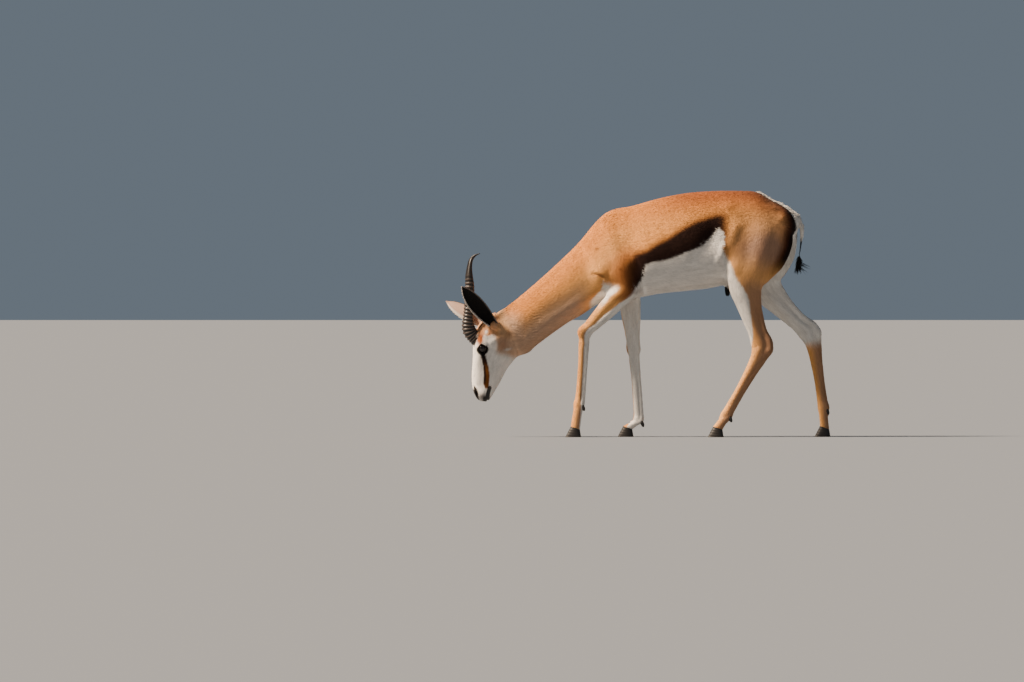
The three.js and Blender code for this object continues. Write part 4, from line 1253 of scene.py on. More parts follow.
def hair_streaks():
    """Node group: streaks of tone and height, noise drawn out along the first axis of a place."""
    group = bpy.data.node_groups.new("Hair streaks", "ShaderNodeTree")
    for name, kind in (("Place", "NodeSocketVector"), ("Contrast", "NodeSocketFloat")):
        group.interface.new_socket(name, in_out="INPUT", socket_type=kind)
    for name in ("Tone", "Height"):
        group.interface.new_socket(name, in_out="OUTPUT", socket_type="NodeSocketFloat")
    start, end = group.nodes.new("NodeGroupInput"), group.nodes.new("NodeGroupOutput")
    heights = []
    for stretch in ((0.06, 0.5, 0.5), (0.015, 0.07, 0.07)):
        mapping = group.nodes.new("ShaderNodeMapping")
        mapping.inputs["Scale"].default_value = stretch
        noise = node_of(group, "ShaderNodeTexNoise", Scale=1.0, Detail=3.0, Roughness=0.6)
        group.links.new(start.outputs["Place"], mapping.inputs["Vector"])
        group.links.new(mapping.outputs["Vector"], noise.inputs["Vector"])
        heights.append(noise.outputs[0])
    centred = math_of(group, "SUBTRACT", math_of(group, "ADD", *heights), 1.0)
    tone = math_of(group, "MULTIPLY_ADD", centred, start.outputs["Contrast"], 1.0)
    group.links.new(tone, end.inputs["Tone"])
    group.links.new(heights[0], end.inputs["Height"])
    return group


def new_material(name, roughness, **constants):
    """A material with its Principled shader, whose constant values sit on the shader's own sockets."""
    material = bpy.data.materials.new(name)
    material.use_nodes = True
    shader = material.node_tree.nodes["Principled BSDF"]
    shader.inputs["Roughness"].default_value = roughness
    for key, value in constants.items():
        shader.inputs[key.replace("_", " ")].default_value = value
    return material, material.node_tree, shader


def hair_material(name, streaks, contrast, bump, roughness=0.78):
    """Hair: the colour stored on the mesh, with streaks along the lie of the coat in tone and relief."""
    material, tree, shader = new_material(name, roughness, Specular_IOR_Level=0.14, Sheen_Weight=0.04,
                                          Sheen_Roughness=0.5)
    colour = stored_on_mesh(tree, "Coat")
    place = stored_on_mesh(tree, "Lie")
    group = tree.nodes.new("ShaderNodeGroup")
    group.node_tree = streaks
    group.inputs["Contrast"].default_value = contrast
    tinted = tree.nodes.new("ShaderNodeVectorMath")
    tinted.operation = "SCALE"
    raised = node_of(tree, "ShaderNodeBump", Strength=bump, Distance=0.001)
    tree.links.new(place.outputs["Vector"], group.inputs["Place"])
    tree.links.new(colour.outputs["Color"], tinted.inputs[0])
    tree.links.new(group.outputs["Tone"], tinted.inputs["Scale"])
    tree.links.new(tinted.outputs[0], shader.inputs["Base Color"])
    tree.links.new(group.outputs["Height"], raised.inputs["Height"])
    tree.links.new(raised.outputs["Normal"], shader.inputs["Normal"])
    return material


def stored_material(name, roughness, grain=0.0, **constants):
    """The colour stored on the mesh, with a fine grain in relief where asked for."""
    material, tree, shader = new_material(name, roughness, **constants)
    colour = stored_on_mesh(tree, "Coat")
    tree.links.new(colour.outputs["Color"], shader.inputs["Base Color"])
    if grain:
        place = tree.nodes.new("ShaderNodeTexCoord")
        noise = node_of(tree, "ShaderNodeTexNoise", Scale=900.0, Detail=4.0)
        raised = node_of(tree, "ShaderNodeBump", Strength=grain, Distance=0.0008)
        tree.links.new(place.outputs["Object"], noise.inputs["Vector"])
        tree.links.new(noise.outputs[0], raised.inputs["Height"])
        tree.links.new(raised.outputs["Normal"], shader.inputs["Normal"])
    return material


def material_named(name, make):
    """The material of that name, made on first use."""
    return bpy.data.materials.get(name) or make()


def coat_material():
    """The short coat, also on the skin under it."""
    return material_named("Springbok hair", lambda: hair_material("Springbok hair", hair_streaks(), 0.6, 0.4))


def settings_of(context):
    """The add-on's settings."""
    return context.scene.springbok_coat, context.scene.springbok_horns, context.scene.springbok_stage


# What the skin's maker leaves for the coat's
SKIN = {}


def need_skin():
    """The skin's arrays, once it has been made."""
    if not SKIN:
        raise RuntimeError("make the skin before its coat")
    return SKIN


def build_skin(context):
    """The skin: the union of all shells by voxels, smoothed, with its forms raised and thinned out of the
    head."""
    points, faces = merged(skin_shells())
    voxels = changed(mesh_from("shells", points, faces), "REMESH", mode="VOXEL", voxel_size=VOXEL)
    points, _, _ = read_mesh(voxels)
    edges = mesh_edges(voxels)
    points = smoothed(points, edges, SKIN_ROUNDS, (0.5, -0.51))
    x, z = points[:, 0], points[:, 2]
    points = smoothed(points, edges, BODY_ROUNDS, (0.5,), rise(z, 395, 450) * rise(x, -460, -380))
    points = smoothed(points, edges, JOIN_ROUNDS, (0.5,), joins(points))
    voxels.vertices.foreach_set("co", points.astype(np.float32).ravel())
    voxels.update()
    points, _, normals = read_mesh(voxels)
    points = points + normals * relief(points, normals)[:, None]
    points = smoothed(points, edges, RELIEF_ROUNDS, (0.3,))
    points = sink_eyes(points)
    voxels.vertices.foreach_set("co", points.astype(np.float32).ravel())
    voxels.update()
    part = part_of(points)
    share = np.where(part == HEAD_PART, 0.35, 1.0)
    share = np.where((points[:, 2] < 130) | (part == TAIL_PART), 0.7, share)
    voxels.calc_loop_triangles()
    thin = changed(voxels, "DECIMATE", weights=share, decimate_type="COLLAPSE", vertex_group="Share",
                   vertex_group_factor=4.0, use_collapse_triangulate=True,
                   ratio=SKIN_TRIANGLES / len(voxels.loop_triangles))
    points, faces, normals = read_mesh(thin)
    tint = palette(context)
    part = part_of(points)
    thing = piece("skin", points, faces, coat_material(),
                  ["head", "neck", "torso", "tail"] + [f"leg_{name}" for name in LEGS])
    store_colours(thing.data, "Coat", coat_colours(points, normals, part, tint))
    way, streak = coat_lie(points, normals, part)
    store_vectors(thing.data, "Lie", streak)
    a, b, c = (points[faces[:, k]] for k in range(3))
    face_normals = unit(np.cross(b - a, c - a))
    unwrap = Unwrap(points, faces, part, face_normals)
    groups = part[faces[:, 0]] * 6 + unwrap.facing(face_normals)
    store_unwrap(thing.data, unwrap.at(points[faces].reshape(-1, 3), np.repeat(groups, 3)))
    SKIN.update(points=points, faces=faces, normals=normals, part=part, way=way, streak=streak,
                groups=groups, unwrap=unwrap)


def tuft_sizes(p, part, normals, length_factor):
    """Length, width and lift of the tufts at places on the skin, and how many grow on a square millimetre:
    longest under the belly and smallest on the face and feet."""
    z = p[:, 2]
    length = np.full(len(p), TUFT_LENGTH)
    leg = (part >= FIRST_LEG) & (part <= LAST_LEG)
    length = np.where(leg, np.interp(z, [30, 80, 300, 480, 560], [4.5, 6, 8, 10, TUFT_LENGTH]), length)
    length = np.where(part == TAIL_PART, 12.0, length)
    head = np.interp(z, [120, 200, 300, 390], [3.0, 5.0, 7.0, 11.0])
    length = np.where(part == HEAD_PART, head, length)
    underside = rise(-normals[:, 2], 0.3, 0.9)
    length = length * (1 + 0.15 * underside * (part == TRUNK_PART))
    width = 0.75 + length * 0.115
    lift = 0.10 * length + 0.5
    density = np.interp(length, [3, 7, 12, 16], [0.4, 0.26, 0.205, 0.18])
    eyes = np.minimum(np.linalg.norm(p - eye_place(-1), axis=1), np.linalg.norm(p - eye_place(1), axis=1))
    density = np.where(eyes < 20.5, 0.0, density)
    straight = head_straight(p)
    around, _ = nostril_field(straight)
    bare = (part == HEAD_PART) & ((around < 1.7) | (polyline_distance(straight[:, [0, 2]], MOUTH_LINE) < 2.2))
    density = np.where(bare, 0.0, density)
    return length * length_factor, width, lift, density


def build_coat(context):
    """The short coat: tufts over the whole skin, in one piece for each part of the body."""
    skin = need_skin()
    coat = context.scene.springbok_coat
    tint = palette(context)
    random = np.random.default_rng(41)
    points, faces = skin["points"], skin["faces"]
    middle = points[faces].mean(1)
    part_face = skin["part"][faces[:, 0]]
    normal_face = unit(skin["normals"][faces].mean(1))
    _, _, _, density = tuft_sizes(middle, part_face, normal_face, 1.0)
    face, share = sample_roots(points, faces, density * coat.density, random)
    corner = faces[face]
    root = (points[corner] * share[..., None]).sum(1)
    normal = unit((skin["normals"][corner] * share[..., None]).sum(1))
    way = unit((skin["way"][corner] * share[..., None]).sum(1))
    way = unit(way - normal * (way * normal).sum(1, keepdims=True))
    part = part_face[face]
    length, width, lift, _ = tuft_sizes(root, part, normal, coat.tuft_length / (TUFT_LENGTH * MM))
    vary = random.uniform(0.75, 1.25, len(root))
    length, width = length * vary, width * random.uniform(0.8, 1.2, len(root))
    lift = lift * random.uniform(0.5, 1.4, len(root))
    colour = coat_colours(root, normal, part, tint)
    colour = colour * random.normal(1.0, 0.055, (len(root), 1)).clip(0.8, 1.2)
    streak = (skin["streak"][corner] * share[..., None]).sum(1)
    groups = skin["groups"][face]
    uv = patch_map(skin["unwrap"], root, groups)
    places = {"head": part == HEAD_PART, "neck": (part == TRUNK_PART) & (root[:, 0] < -150),
              "tail": part == TAIL_PART}
    trunk = (part == TRUNK_PART) & ~places["neck"]
    places["trunk_left"] = trunk & (root[:, 1] < 0)
    places["trunk_right"] = trunk & (root[:, 1] >= 0)
    for k, name in enumerate(LEGS):
        places[f"leg_{name}"] = part == FIRST_LEG + k
    for name, mask in places.items():
        own = np.flatnonzero(mask)
        shape, blades, soft = tufts(root[own], normal[own], way[own], length[own], width[own], lift[own],
                                    random)
        thing = piece(f"coat_{name}", shape, blades, coat_material())
        mesh = thing.data
        store_colours(mesh, "Coat", np.repeat(colour[own], 4, axis=0))
        store_vectors(mesh, "Lie", np.repeat(streak[own], 4, axis=0))
        store_unwrap(mesh, uv[own].reshape(-1, 2)[blades].reshape(-1, 2))
        mesh.normals_split_custom_set_from_vertices(soft)


def nearest_skin(places, step=3):
    """For each place, the nearest of every few points of the skin."""
    skin = need_skin()
    index = np.arange(0, len(skin["points"]), step)
    sample = skin["points"][index]
    best = []
    for place in np.array_split(places, max(1, len(places) // 40)):
        best.append(index[((place[:, None] - sample[None]) ** 2).sum(-1).argmin(1)])
    return np.concatenate(best)


def finish_locks(name, paths, across, width, thickness, colours, nodes=()):
    """A piece of locks with their colours and their patches of the unwrap."""
    skin = need_skin()
    points, faces = lock_mesh(paths, across, width, thickness)
    each = paths.shape[1] * 4
    thing = piece(name, points, faces, coat_material(), nodes)
    store_colours(thing.data, "Coat", np.repeat(colours, each, axis=0))
    root = paths[:, 0]
    near = nearest_skin(root)
    store_vectors(thing.data, "Lie", np.repeat(skin["streak"][near], each, axis=0))
    groups = skin["part"][near] * 6 + Unwrap.facing(skin["normals"][near])
    uv = patch_map(skin["unwrap"], skin["points"][near], groups)
    corner = np.tile(uv, (1, paths.shape[1], 1)).reshape(-1, 2)
    store_unwrap(thing.data, corner[faces].reshape(-1, 2))


def build_crest(context):
    """The white crest over the rump: longer locks that lie back along the spine, ragged at their tips."""
    tint = palette(context)
    random = np.random.default_rng(5)
    count = 620
    x = random.uniform(396, 534, count)
    half = read_line(CREST_HALF, x)
    y = random.uniform(-1, 1, count) * half
    top = np.array(TRUNK, float)[-6:, :2]
    near = nearest_skin(np.stack([x, y, np.interp(x, *top.T)], 1), 1)
    skin = need_skin()
    root = skin["points"][near] - skin["normals"][near] * 1.0
    normal, way = skin["normals"][near], skin["way"][near]
    start = unit(way + normal * random.uniform(0.3, 0.8, (count, 1)) + random.normal(0, 0.06, (count, 3)))
    fall = -normal * random.uniform(0.15, 0.4, (count, 1)) + np.array([0.0, 0, -0.1])
    length = random.uniform(15, 27, count)
    paths = hanging(root, start, fall, length)
    colour = tint["white"] * random.normal(1, 0.05, (count, 1)).clip(0.85, 1.1)
    finish_locks("crest", paths, unit(np.cross(way, normal)), random.uniform(2.4, 4.2, count),
                 np.full(count, 1.1), colour)


def level_ways(turn):
    """Level directions at the given angles, and the level directions square to them."""
    level = np.zeros(len(turn))
    return np.stack([np.cos(turn), np.sin(turn), level], 1), np.stack([-np.sin(turn), np.cos(turn), level], 1)


def build_tail_tuft(context):
    """The black tuft that hangs from the end of the tail."""
    tint = palette(context)
    random = np.random.default_rng(9)
    count = 210
    turn = random.uniform(0, 2 * math.pi, count)
    down = random.uniform(0, 1, count)
    around, across = level_ways(turn)
    root = np.array([544.5, 0, 614]) + around * 3.0 + down[:, None] * [-3, 0, -36]
    spread = random.uniform(0.05, 0.6, (count, 1))
    start = unit(around * spread + np.array([0.02, 0, -1.0]))
    fall = around * 0.08 + np.array([0.1, 0, 0]) * rise(np.cos(turn), 0.2, 1)[:, None]
    length = random.uniform(20, 34, count) * (1 - 0.25 * (1 - down))
    loose = (down > 0.5) & (random.random(count) < 0.2)
    start[loose] = unit(start[loose] + [1.2, 0, 0.1])
    length[loose] *= 1.45
    paths = hanging(root, start, fall, length, 6)
    paths[..., 2] = np.maximum(paths[..., 2], 546)
    colour = tint["black"] * random.uniform(0.8, 1.5, (count, 1))
    width = np.where(loose, 1.3, random.uniform(2.0, 3.4, count))
    finish_locks("tail_hair", paths, across, width, np.full(count, 1.1), colour,
                 ["tail_tuft"])


def build_sheath_tuft(context):
    """The dark tuft under the belly."""
    tint = palette(context)
    random = np.random.default_rng(13)
    count = 190
    turn = random.uniform(0, 2 * math.pi, count)
    around, across = level_ways(turn)
    root = np.array([302.0, 0, 515]) + around * [9, 7, 0]
    root[:, 2] += random.uniform(-10, 6, count)
    start = unit(around * [0.05, 0.05, 0] + np.array([0, 0, -1.0]))
    fall = -around * 0.22
    length = random.uniform(20, 37, count)
    paths = hanging(root, start, fall, length, 5)
    paths[..., 2] = np.maximum(paths[..., 2], 477)
    colour = tint["black"] * random.uniform(0.8, 1.6, (count, 1))
    finish_locks("sheath_hair", paths, across, random.uniform(2.2, 3.6, count), np.full(count, 1.2), colour,
                 ["sheath"])


def ear_frame(ear):
    """An ear's direction, the way it opens and its wide direction, in the head's straight frame."""
    side = ear["side"]
    axis = unit(np.array(ear["along"], float) * [1, side, 1])
    mouth = np.array(ear["open"], float) * [1, side, 1]
    mouth = unit(mouth - axis * (axis @ mouth))
    return axis, mouth, np.cross(axis, mouth)


def ear_arc(ear, u, v, wall):
    """A place on an ear's cup: u runs from root to tip and v from one rim (-1) to the other (1) along an arc
    whose radius and share of a circle change with u; wall moves it towards the inside."""
    axis, mouth, wide = ear_frame(ear)
    root = EAR_ROOT * [1, ear["side"], 1]
    half = rows_at(EAR_WIDTHS, u * (len(EAR_WIDTHS) - 1))[..., 0]
    curl = np.radians(rows_at(EAR_CURLS, u * (len(EAR_CURLS) - 1))[..., 0])
    radius = half / np.sin(np.minimum(curl, math.pi / 2))
    thick = wall * np.minimum(EAR_WALL * (1 - 0.45 * u), radius * 0.6)
    r = radius - thick
    sideways = r * np.sin(v * curl)
    out = radius * np.cos(curl) - r * np.cos(v * curl)
    cup = np.clip(u / 0.22, 0, 1)
    rim_side, rim_out = r * np.sin(curl), radius * np.cos(curl) - r * np.cos(curl)
    sideways = np.where(wall > 0, cup * sideways + (1 - cup) * rim_side * v, sideways)
    out = np.where(wall > 0, cup * out + (1 - cup) * rim_out, out)
    bow = EAR_BOW * np.sin(math.pi * u)
    centre = root + axis * (EAR_LENGTH * u)[..., None] + mouth * bow[..., None]
    return centre + wide * sideways[..., None] + mouth * out[..., None]


def build_ears(context):
    """Two ears: thin cups with an even wall, grey outside and paler towards the front edge, black inside,
    partly painted shade, with hair along the rims that is pale in front and dark behind."""
    tint = palette(context)
    random = np.random.default_rng(17)
    for place, ear in EARS.items():
        steps, across = 64, 28
        u = np.repeat(np.linspace(0, 1, steps)[:, None], 2 * (across + 1), 1)
        v = np.concatenate([np.linspace(-1, 1, across + 1), np.linspace(1, -1, across + 1)])[None] + 0 * u
        wall = np.concatenate([np.zeros(across + 1), np.ones(across + 1)])[None] + 0 * u
        rings = ear_arc(ear, u, v, wall)
        points, faces = capped(rings)
        # Black inside the cup: partly the ear's dark skin and partly painted shade.
        shade = rise(np.abs(v), 1.0, 0.9) * rise(u, 1.0, 0.95)
        axis, mouth, wide = ear_frame(ear)
        ahead = -np.sign(wide[0]) * v
        rim = mix(tint["white"] * 0.12, tint["white"] * 0.45, rise(ahead, 0, 1))
        inner = mix(rim, tint["black"], shade)
        outer = mix(tint["grey"], tint["white"], 0.08 + 0.7 * rise(ahead, 0.5, 0.95))
        outer = mix(outer, tint["deep"], rise(u, 0.93, 1.0) * 0.5)
        colour = np.where(wall[..., None] > 0, inner, outer).reshape(-1, 3)
        thing = piece(f"ear_cup_{place}", head_turned(points), faces, coat_material(),
                      [f"ear_{place}"])
        store_colours(thing.data, "Coat", with_ends(colour))
        flat = np.stack([u.ravel() * EAR_LENGTH, v.ravel() * 25, np.full(u.size, 300)], 1)
        store_vectors(thing.data, "Lie", with_ends(flat))
        count = 520
        at = random.uniform(0.03, 0.97, count)
        edge = np.where(random.random(count) < 0.5, -1.0, 1.0)
        deep = random.uniform(0, 1, count) ** 2
        root = ear_arc(ear, at, edge * (1 - 0.1 * deep), np.where(deep > 0.3, 1.0, 0.0))
        lean = np.where(deep > 0.3, -0.25, 0.2)[:, None]
        start = unit(axis + wide * edge[:, None] * lean + mouth * random.uniform(0.0, 0.2, (count, 1)))
        length = random.uniform(3.5, 6.5, count) * np.interp(at, [0, 0.3, 0.8, 1], [1.2, 1.1, 0.8, 0.45])
        fall = np.tile(-mouth * 0.1, (count, 1))
        paths = head_turned(hanging(root, start, fall, length, 4))
        colour = mix(tint["white"] * 0.7, tint["grey"], random.uniform(0, 0.5, count))
        colour = mix(colour, tint["black"], rise(edge * np.sign(wide[0]), 0, 1) * 0.9)
        finish_locks(f"ear_hair_{place}", paths, np.tile(head_way(wide), (count, 1)),
                     random.uniform(1.0, 1.7, count), np.full(count, 0.6), colour)


def build_horns(context):
    """Two horns: a curved, slightly flattened cone with raised rings, close at the base, and a smooth tip."""
    horns = context.scene.springbok_horns
    material = material_named("Horn", lambda: stored_material("Horn", 0.42, 0.25, Specular_IOR_Level=0.45))
    dark = np.array(horns.colour[:])
    stops = np.linspace(0, 1, 420)
    halves = rows_at(HORN_DEPTH, stops * (len(HORN_DEPTH) - 1))[:, 0]
    sides = 44
    angle = np.linspace(0, 2 * math.pi, sides, endpoint=False)
    phase = np.clip((stops - RINGS_FROM) / (RINGS_TO - RINGS_FROM), 0, 1) ** (1 / 1.15) * horns.rings
    fade = rise(stops, RINGS_FROM - 0.03, RINGS_FROM + 0.02) * rise(stops, RINGS_TO + 0.03, RINGS_TO - 0.1)
    crest = (0.5 + 0.5 * np.cos(2 * math.pi * phase)) ** 1.6
    height = horns.ring_height / MM * (1 - 0.75 * stops) * fade
    ridge = (height * (crest - 0.55))[:, None] * (0.75 + 0.25 * np.cos(angle))[None]
    upper = rise(stops, RINGS_TO - 0.22, RINGS_TO + 0.05)
    for place, side in (("left", -1), ("right", 1)):
        line = np.array(HORN_LINE, float) * [1, side, 1]
        rings = tube_rings(line, stops, halves, np.full(len(stops), HORN_FLATNESS), sides, ridge)
        points, faces = capped(rings)
        thing = piece(f"horn_sheath_{place}", head_turned(points), faces, material, [f"horn_{place}"])
        # Lighter on the crests of the rings, a painted highlight, and darker in the grooves between them,
        # painted shade; darker towards the tip.
        ring_highlight_shade_and_tip = 1 + 3.2 * rise(crest, 0.45, 0.95) * fade - 0.6 * rise(crest, 0.4, 0.05) * fade - 0.45 * upper
        tone = np.repeat(ring_highlight_shade_and_tip, sides)
        store_colours(thing.data, "Coat", with_ends(dark * tone[:, None]))


def lid_surface(side):
    """Both lids of an eye as one closed ring: a leaf-shaped outline grown outwards in steps, each at a height
    over the eyeball or the swelling about it, and back under them."""
    around = 72
    a = np.linspace(0, 2 * math.pi, around, endpoint=False)[None]
    length, height = LID_LENGTH - 5, LID_HEIGHT - 2
    u0 = 0.5 * length * np.cos(a)
    v0 = 0.5 * height * np.sign(np.sin(a)) * np.abs(np.sin(a)) ** 1.5
    push = np.array([-1.6, -0.6, 0.3, 1.6, 3.6, 6.2, 9.2, 5.0, 1.0])[:, None]
    away = unit(np.stack([np.cos(a) * height, np.sin(a) * length], -1))
    u = u0 + push * away[..., 0]
    v = v0 + push * away[..., 1]
    over_ball = np.sqrt(np.clip(EYE_RADIUS ** 2 - u ** 2 - v ** 2, 20, None))
    dx, dz = from_slit(u, v)
    radii = ORBIT_RADII - 1.5
    dome = 1 - ((dx - ORBIT_PLACE[0]) / radii[0]) ** 2 - ((dz - ORBIT_PLACE[2]) / radii[2]) ** 2
    over_orbit = ORBIT_PLACE[1] + radii[1] * np.sqrt(np.clip(dome, 0.03, None))
    blend = np.array([0, 0, 0, 0.15, 0.6, 1, 1, 1, 0])[:, None]
    extra = np.array([-1.4, 0.3, 1.5, 2.3, 1.6, 0.4, -1.2, -4.5, -4.0])[:, None]
    out = over_ball * (1 - blend) + over_orbit * blend + extra
    local = np.stack([dx, out, dz], -1)
    return (local + EYE) * [1, side, 1]


def ring_faces(rows, columns):
    """Triangles of a grid that meets itself both ways."""
    faces = grid_faces(rows + 1, columns)
    return faces % (rows * columns)


def build_eyes(context):
    """Eyeballs with a dark iris and a long pupil, their lids, and lashes on the upper lids."""
    tint = palette(context)
    glossy = material_named("Eye", lambda: stored_material(
        "Eye", 0.06, Specular_IOR_Level=0.4, Coat_Weight=0.4, Coat_Roughness=0.02))
    lid = material_named("Lid", lambda: stored_material("Lid", 0.8, 0.3, Specular_IOR_Level=0.06))
    random = np.random.default_rng(29)
    for place, side in (("left", -1), ("right", 1)):
        points, faces = ball(EYE * [1, side, 1], [EYE_RADIUS] * 3, 64, 46)
        local = (points - EYE * [1, side, 1]) * [1, side, 1]
        u, v = to_slit(local[:, 0], local[:, 2])
        pupil = rise(np.sqrt((u / 6.5) ** 2 + (v / 3.6) ** 2), 1.15, 0.85)
        iris = rise(np.hypot(u, v), 12.0, 10.5)
        colour = mix(tint["black"] * 0.3, tint["dark"] * 0.3, iris)
        colour = mix(colour, tint["black"] * 0.1, pupil)
        eye = piece(f"eyeball_{place}", head_turned(points), faces, glossy, [f"eye_{place}"])
        store_colours(eye.data, "Coat", colour)
        rings = lid_surface(side)
        rows, columns, _ = rings.shape
        points, faces = outward(rings.reshape(-1, 3), ring_faces(rows, columns))
        lids = piece(f"lids_{place}", head_turned(points), faces, lid)
        store_colours(lids.data, "Coat", np.broadcast_to(tint["black"] * 0.3, points.shape))
        count = 26
        a = np.linspace(0.12, 0.88, count) * math.pi
        u = 0.5 * (LID_LENGTH - 5) * np.cos(a)
        v = 0.5 * (LID_HEIGHT - 2) * np.sin(a) ** 1.5
        out = np.sqrt(EYE_RADIUS ** 2 - np.clip(u ** 2 + v ** 2, 0, 190)) + 2.2
        dx, dz = from_slit(u, v)
        root = (np.stack([dx, out, dz], 1) + EYE) * [1, side, 1]
        upward = np.array([-math.sin(EYE_SLOPE), 0, math.cos(EYE_SLOPE)])
        slit = np.array([math.cos(EYE_SLOPE), 0, math.sin(EYE_SLOPE)])
        start = unit(np.array([0, side, 0]) - upward * 0.1 + slit * 0.3)
        paths = head_turned(hanging(root, np.tile(start, (count, 1)), np.tile(upward * 0.5, (count, 1)),
                                    random.uniform(5, 8, count), 4))
        across = np.tile([0.3, 0, 1.0], (count, 1))
        finish_locks(f"lashes_{place}", paths, across, np.full(count, 0.7), np.full(count, 0.5),
                     np.tile(tint["black"], (count, 1)))


def build_hooves(context):
    """Eight hooves, from the oval of the coronet to a pointed sole, and eight dewclaws."""
    tint = palette(context)
    material = material_named("Hoof", lambda: stored_material("Hoof", 0.5, 0.3))
    for name, leg in LEGS.items():
        places = leg_joints(leg)
        x = places[4][0]
        for place, toe in (("inner", -leg["side"]), ("outer", leg["side"])):
            y = places[4][1] + toe * DIGIT_SPREAD
            top = np.array([x - CORONET_FRONT, HOOF_HEIGHT, x + CORONET_HEEL, HOOF_HEIGHT * 0.7, CORONET_HALF,
                            0.5, 2, 2, y])
            sole = np.array([x - HOOF_LENGTH + 19, 0, x + 19, 0, 11.6, 0.42, 1.5, 2.6, y])
            middle = (top + sole) / 2
            middle[4] += 0.4
            rows = finer([top, middle, sole], 14)
            above_sole = np.arange(len(rows))[::-1]
            grow = 0.18 * np.sin(np.linspace(0, 9 * math.pi, len(rows))) - 0.6 * np.exp(-above_sole / 0.7)
            points, faces = capped(section_rings(rows, 40, grow))
            thing = piece(f"hoof_wall_{name}_{place}", points, faces, material,
                          [f"hoof_{name}_{place}"])
            tone = 0.9 + 0.35 * rise(points[:, 2], 24, 34)
            store_colours(thing.data, "Coat", tint["black"] * tone[:, None] * 1.3)
            claw, faces = ball([0, 0, 0], [6, 7, 12], 24, 14)
            a = -0.35
            claw = claw @ np.array([[math.cos(a), 0, -math.sin(a)], [0, 1, 0], [math.sin(a), 0, math.cos(a)]])
            fetlock = places[3]
            claw = claw + [fetlock[0] + 15, fetlock[1] + toe * 10, fetlock[2] - 13]
            small = piece(f"claw_{name}_{place}", claw, faces, material, [f"dewclaw_{name}_{place}"])
            store_colours(small.data, "Coat", np.tile(tint["black"] * 1.2, (len(claw), 1)))


def build_stage(context):
    """A plain floor, a main light from the upper left, a weak second light and the photograph's camera."""
    stage = context.scene.springbok_stage
    corners = np.array([[-1, -1, 0], [1, -1, 0], [1, 1, 0], [-1, 1, 0]]) * FLOOR_HALF
    mesh = mesh_from("floor", corners, np.array([[0, 1, 2, 3]]))
    material, _, shader = new_material("Floor", 0.9)
    shader.inputs["Base Color"].default_value = (*stage.floor, 1)
    mesh.materials.append(material)
    floor = bpy.data.objects.new("floor", mesh)
    context.scene.collection.objects.link(floor)
    world = bpy.data.worlds.new("Studio")
    world.use_nodes = True
    background = world.node_tree.nodes["Background"]
    background.inputs["Color"].default_value = (*stage.sky, 1)
    background.inputs["Strength"].default_value = stage.fill
    context.scene.world = world
    for name, direction, energy, spread in (("key", (-0.64, -0.2, 0.68), stage.key, 11.0),
                                            ("side", (0.5, -1.0, 0.6), stage.side, 40.0)):
        light = bpy.data.lights.new(name, "SUN")
        light.color = stage.sun
        light.energy = energy
        light.angle = math.radians(spread)
        thing = bpy.data.objects.new(name, light)
        thing.rotation_euler = Vector(direction).to_track_quat("Z", "Y").to_euler()
        context.scene.collection.objects.link(thing)
    camera = bpy.data.cameras.new("camera")
    camera.lens = CAMERA_LENS
    camera.clip_end = 600
    thing = bpy.data.objects.new("camera", camera)
    target = Vector(((CAMERA_X + SHIFT[0]) * MM, 0, LOOK_UP))
    thing.location = (target[0], -CAMERA_BACK, CAMERA_UP)
    thing.rotation_euler = (target - thing.location).to_track_quat("-Z", "Y").to_euler()
    context.scene.collection.objects.link(thing)
    context.scene.camera = thing


def colour_setting(name, text, colour):
    """A colour property given as a screen colour."""
    return FloatVectorProperty(name=name, description=text, subtype="COLOR", size=3, min=0, max=1,
                               default=tuple(float(v) for v in linear(colour)))


class SpringbokCoat(PropertyGroup):
    """Colours and length of the coat."""

    tan: colour_setting("Tan", "Side of the body", (0.865, 0.59, 0.305))
    fawn: colour_setting("Fawn", "Neck and legs", (0.89, 0.655, 0.39))
    # Grey tan stands partly for the coat's own colour and partly for painted shade on the thigh, throat and
    # legs.
    grey: colour_setting("Grey tan", "Back of the thigh, throat and lower legs", (0.605, 0.485, 0.415))
    orange: colour_setting("Orange", "Crown and fronts of the legs", (0.775, 0.47, 0.195))
    rufous: colour_setting("Rufous", "Back and rump", (0.56, 0.31, 0.155))
    deep: colour_setting("Deep brown", "Top of the rump and edge of the stripe", (0.33, 0.18, 0.10))
    dark: colour_setting("Dark", "Stripe along the side and line in the face", (0.135, 0.062, 0.038))
    white: colour_setting("White", "Belly, face and rump", (0.92, 0.90, 0.87))
    black: colour_setting("Black", "Nose, lips, lids, inside of the ears and tufts", (0.065, 0.055, 0.05))
    density: FloatProperty(name="Density", description="Tufts as a share of the full coat", default=1.0,
                           min=0.05, max=1.5, subtype="FACTOR")
    tuft_length: FloatProperty(name="Tuft length", description="Length of the tufts on the side",
                               default=TUFT_LENGTH * MM, min=0.004, max=0.03, unit="LENGTH")


class SpringbokHorns(PropertyGroup):
    """Rings and colour of the horns."""

    rings: IntProperty(name="Rings", description="Rings on each horn", default=20, min=4, max=30)
    ring_height: FloatProperty(name="Ring height", description="Height of the lowest ring", default=0.0036,
                               min=0.0, max=0.005, unit="LENGTH")
    colour: colour_setting("Colour", "Colour of the horns", (0.135, 0.112, 0.1))


class SpringbokStage(PropertyGroup):
    """Floor and light."""

    floor: colour_setting("Floor", "Colour of the floor", (0.43, 0.455, 0.485))
    sky: colour_setting("Surroundings", "Colour of the light all round", (0.84, 0.92, 1.0))
    sun: colour_setting("Sun", "Colour of the lamps", (1.0, 0.90, 0.79))
    fill: FloatProperty(name="Fill", description="Strength of the light all round", default=0.2, min=0)
    key: FloatProperty(name="Key", description="Strength of the main light", default=14.0, min=0)
    side: FloatProperty(name="Side", description="Strength of the second light", default=0.05, min=0)


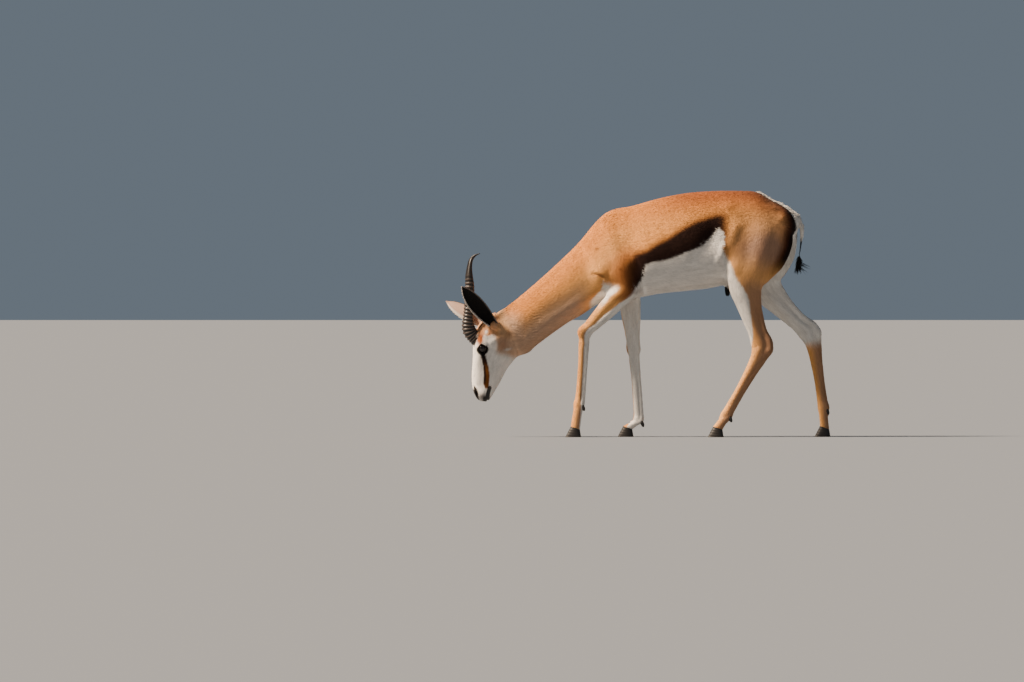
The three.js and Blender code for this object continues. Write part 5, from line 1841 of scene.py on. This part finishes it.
class Maker:
    """Runs the functions that make one piece or group, in turn."""

    makers = ()

    def execute(self, context):
        for make in self.makers:
            make(context)
        return {"FINISHED"}


class SPRINGBOK_OT_skin(Maker, Operator):
    """Makes the skin in one piece, with its markings"""

    bl_idname = "springbok.skin"
    bl_label = "Skin"
    makers = (build_skin,)


class SPRINGBOK_OT_coat(Maker, Operator):
    """Covers the skin with short tufts"""

    bl_idname = "springbok.coat"
    bl_label = "Coat"
    makers = (build_coat,)


class SPRINGBOK_OT_locks(Maker, Operator):
    """Makes the crest over the rump, the tuft of the tail and the dark tuft under the belly"""

    bl_idname = "springbok.locks"
    bl_label = "Long hair"
    makers = (build_crest, build_tail_tuft, build_sheath_tuft)


class SPRINGBOK_OT_ears(Maker, Operator):
    """Makes the ears and the hair along their rims"""

    bl_idname = "springbok.ears"
    bl_label = "Ears"
    makers = (build_ears,)


class SPRINGBOK_OT_horns(Maker, Operator):
    """Makes the ringed horns"""

    bl_idname = "springbok.horns"
    bl_label = "Horns"
    makers = (build_horns,)


class SPRINGBOK_OT_eyes(Maker, Operator):
    """Makes the eyes with their lids and lashes"""

    bl_idname = "springbok.eyes"
    bl_label = "Eyes"
    makers = (build_eyes,)


class SPRINGBOK_OT_hooves(Maker, Operator):
    """Makes the hooves and the dewclaws"""

    bl_idname = "springbok.hooves"
    bl_label = "Hooves"
    makers = (build_hooves,)


class SPRINGBOK_OT_stage(Maker, Operator):
    """Sets up the floor, the light and the camera"""

    bl_idname = "springbok.stage"
    bl_label = "Stage"
    makers = (build_stage,)


OPERATORS = (SPRINGBOK_OT_skin, SPRINGBOK_OT_coat, SPRINGBOK_OT_locks, SPRINGBOK_OT_ears, SPRINGBOK_OT_horns,
             SPRINGBOK_OT_eyes, SPRINGBOK_OT_hooves, SPRINGBOK_OT_stage)
SETTINGS = (SpringbokCoat, SpringbokHorns, SpringbokStage)


class SPRINGBOK_PT_panel(Panel):
    """Lists the pieces and their settings"""

    bl_idname = "SPRINGBOK_PT_panel"
    bl_label = "Springbok"
    bl_space_type = "VIEW_3D"
    bl_region_type = "UI"
    bl_category = "Springbok"

    def draw(self, context):
        for settings in settings_of(context):
            for key in settings.__annotations__:
                self.layout.prop(settings, key)
        for operator in OPERATORS:
            self.layout.operator(operator.bl_idname)


def register():
    for one in (*SETTINGS, *OPERATORS, SPRINGBOK_PT_panel):
        bpy.utils.register_class(one)
    bpy.types.Scene.springbok_coat = PointerProperty(type=SpringbokCoat)
    bpy.types.Scene.springbok_horns = PointerProperty(type=SpringbokHorns)
    bpy.types.Scene.springbok_stage = PointerProperty(type=SpringbokStage)


def unregister():
    del bpy.types.Scene.springbok_stage
    del bpy.types.Scene.springbok_horns
    del bpy.types.Scene.springbok_coat
    for one in (SPRINGBOK_PT_panel, *OPERATORS[::-1], *SETTINGS[::-1]):
        bpy.utils.unregister_class(one)


def main():
    """Makes every piece in order."""
    register()
    for operator in OPERATORS:
        getattr(bpy.ops.springbok, operator.bl_idname.split(".")[1])()


if __name__ == "__main__":
    main()
